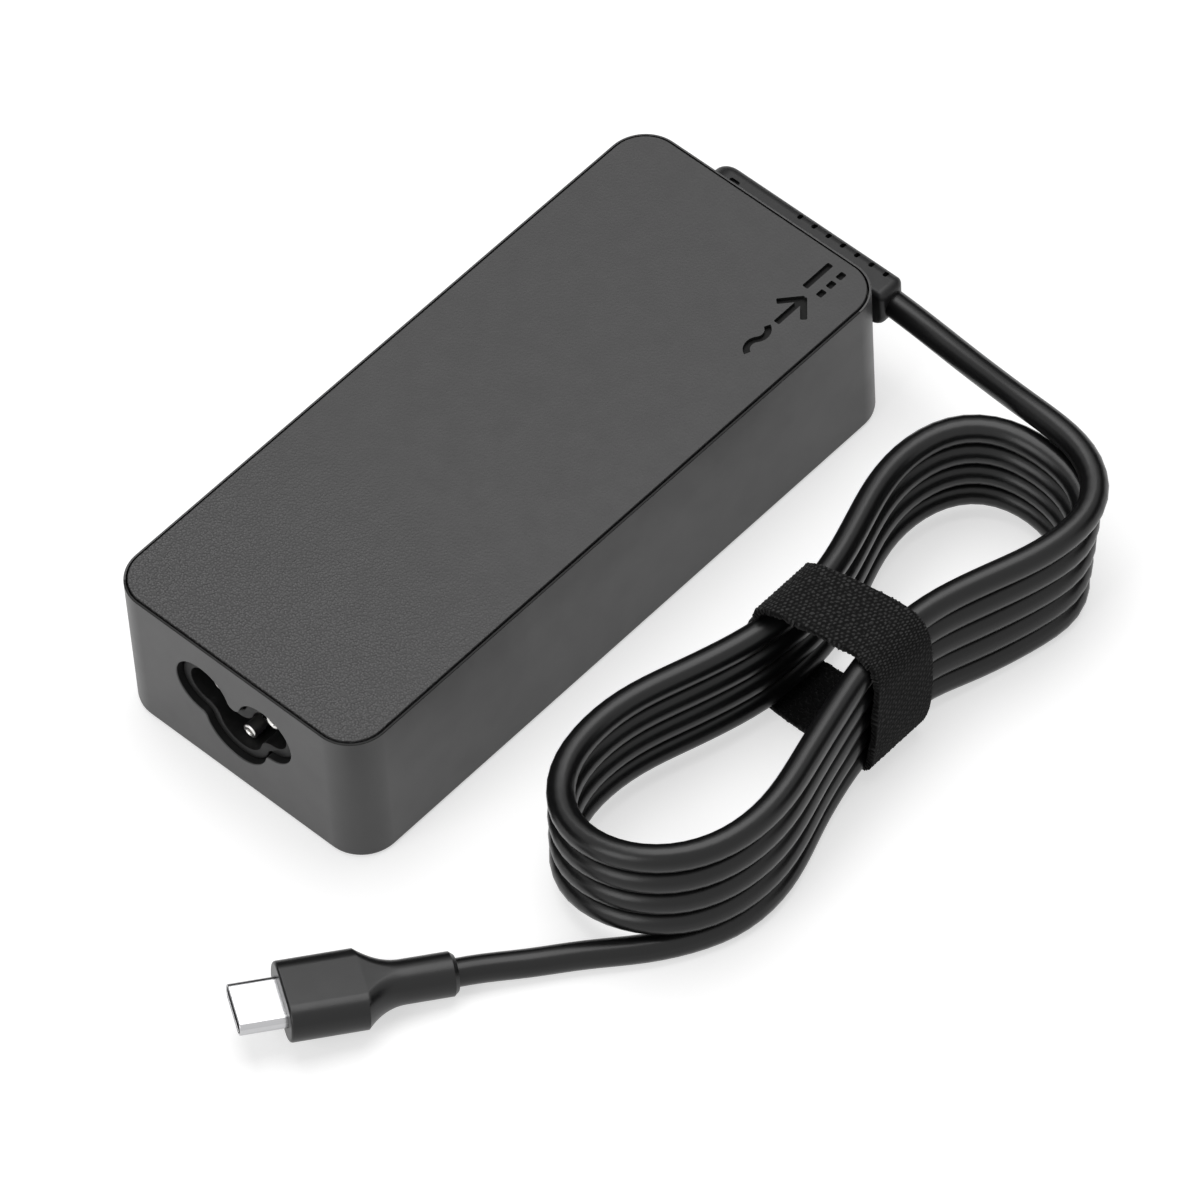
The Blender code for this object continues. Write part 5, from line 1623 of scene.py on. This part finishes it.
@dataclass
class InnerPieces:
    """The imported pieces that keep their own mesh: the works inside the case and inside the plug."""

    def build(self) -> None:
        """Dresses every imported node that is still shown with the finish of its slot."""
        slots = {s["node"]: s["material_slot"] for s in frame["record"]["subparts"]}
        for name, node in sorted(frame["nodes"].items()):
            if node.hide_render:
                continue
            material = Look.INSIDE[slots[name]].material()
            if not node.material_slots:
                node.data.materials.append(material)
            for place in node.material_slots:
                place.material = material
            LOG.info("%s wears %s", name, material.name)


@dataclass
class Lamp:
    """A soft box."""

    name: str
    spot: Point
    aim: Point
    size: tuple[float, float]
    power: float

    def build(self) -> None:
        """Hangs the lamp."""
        data = bpy.data.lights.new(self.name, "AREA")
        data.shape = "RECTANGLE"
        data.size, data.size_y = self.size
        data.energy = self.power
        lamp = placed(self.name, data)
        lamp.location = self.spot
        lamp.rotation_euler = (Vector(self.aim) - Vector(self.spot)).to_track_quat("-Z", "Y").to_euler()
        lamp.visible_camera = False


@dataclass
class Studio:
    """A white floor and surround, soft lamps, and the camera of the photograph."""

    world_strength: float = 0.25
    floor_colour: float = 0.61
    floor_glow: float = 0.59
    floor_reach: float = 6.0
    spot: Point = (-0.582520, -0.619292, 1.084145)
    ahead: Point = (0.425698, 0.440051, -0.790656)
    up: Point = (0.600179, 0.516599, 0.610664)
    lens: float = 296.86
    sensor: float = 36.0
    flag_radius: float = 2.4
    flag_height: float = 1.5
    flag_steps: int = 40
    flag_from: float = -60.0
    flag_to: float = 150.0
    lamps: tuple[Lamp, ...] = (
        Lamp("lamp_above", (0.25, 0.20, 1.25), (0.0, -0.04, 0.0), (1.05, 1.05), 11.0),
        Lamp("lamp_left", (-1.15, 0.15, 0.75), (0.0, 0.0, 0.0), (0.7, 0.7), 4.9),
    )

    def build(self) -> None:
        """Sets up floor, surround, lamps, camera and colour view."""
        self.build_floor()
        self.build_flag()
        self.build_world()
        for lamp in self.lamps:
            lamp.build()
        self.build_camera()
        bpy.context.scene.view_settings.view_transform = "Standard"

    def seen(self, nodes: NodeTree) -> Socket:
        """Tells what is looked at from what only gives light.

        Args:
            nodes: the nodes of the surface or surround.

        Returns:
            The socket of a number: 1 where it is seen directly or mirrored, 0 elsewhere.
        """
        path = nodes.add("ShaderNodeLightPath").outputs
        mirrored = nodes.maths("ADD", path["Is Camera Ray"], path["Is Glossy Ray"], clamp=True)
        return nodes.maths("ADD", mirrored, path["Is Transmission Ray"], clamp=True)

    def build_floor(self) -> None:
        """Lays the floor: white, with a faint glow of its own where it is seen."""
        material = bpy.data.materials.new("studio_floor")
        nodes = NodeTree(material)
        nodes.tree.nodes.clear()
        matt = nodes.add("ShaderNodeBsdfDiffuse", {"Color": (*[self.floor_colour] * 3, 1.0)})
        strength = nodes.maths("MULTIPLY", self.seen(nodes), self.floor_glow)
        glow = nodes.add("ShaderNodeEmission", {"Strength": strength})
        both = nodes.add("ShaderNodeAddShader", {0: matt.outputs[0], 1: glow.outputs[0]})
        nodes.add("ShaderNodeOutputMaterial", {"Surface": both.outputs[0]})
        ground = Shape()
        bmesh.ops.create_grid(ground.bm, x_segments=1, y_segments=1, size=self.floor_reach)
        self.stand("floor", ground, material)

    def stand(self, name: str, shape: Shape, material: bpy.types.Material) -> bpy.types.Object:
        """Puts a piece of the studio in its place.

        Args:
            name: its name.
            shape: its shape.
            material: what it wears.

        Returns:
            The object.
        """
        mesh = shape.copied()
        mesh.materials.append(material)
        made = placed(name, mesh)
        return made

    def build_flag(self) -> None:
        """Stands a black screen behind the set, seen only in reflections, which draws the dark rims."""
        screen = Shape()
        bmesh.ops.create_grid(screen.bm, x_segments=self.flag_steps, y_segments=1, size=0.5)
        for vert in screen.bm.verts:
            turn = math.radians(self.flag_from + (self.flag_to - self.flag_from) * (vert.co.x + 0.5))
            rise = (vert.co.y + 0.5) * self.flag_height
            vert.co = Vector((self.flag_radius * math.cos(turn), self.flag_radius * math.sin(turn), rise))
        flag = self.stand("flag", screen, Finish("studio_flag", (0.01, 0.01, 0.01), 0.9, 0.0).material())
        for kind in ("camera", "diffuse", "transmission", "shadow", "volume_scatter"):
            setattr(flag, f"visible_{kind}", False)

    def build_world(self) -> None:
        """Surrounds the scene with an even light that is seen as plain white."""
        world = bpy.data.worlds.new("studio_surround")
        bpy.context.scene.world = world
        nodes = NodeTree(world)
        nodes.tree.nodes.clear()
        light = nodes.add("ShaderNodeBackground", {"Color": WHITE, "Strength": self.world_strength})
        white = nodes.add("ShaderNodeBackground", {"Color": WHITE})
        inputs = {0: self.seen(nodes), 1: light.outputs[0], 2: white.outputs[0]}
        mixed = nodes.add("ShaderNodeMixShader", inputs)
        nodes.add("ShaderNodeOutputWorld", {"Surface": mixed.outputs[0]})

    def build_camera(self) -> None:
        """Sets the camera where the photograph was taken from."""
        data = bpy.data.cameras.new("camera")
        data.lens = self.lens
        data.sensor_width = self.sensor
        camera = placed("camera", data)
        ahead = Vector(self.ahead).normalized()
        right = ahead.cross(Vector(self.up)).normalized()
        turn = Matrix((right, right.cross(ahead), -ahead)).transposed().to_4x4()
        camera.matrix_world = Matrix.Translation(self.spot) @ turn
        bpy.context.scene.camera = camera


def main() -> None:
    """Builds the adapter's looks in order."""
    logging.basicConfig(level=logging.INFO, format="%(message)s")
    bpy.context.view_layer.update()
    inlet = Inlet()
    inlet.build()
    Case().build(inlet)
    Boot().build()
    strap = Strap().build()
    plug = Plug().build()
    Cord().build([strap, *plug, "plug_insert", "plug_contacts_upper", "plug_contacts_lower"])
    InnerPieces().build()
    Studio().build()


if __name__ == "__main__":
    main()
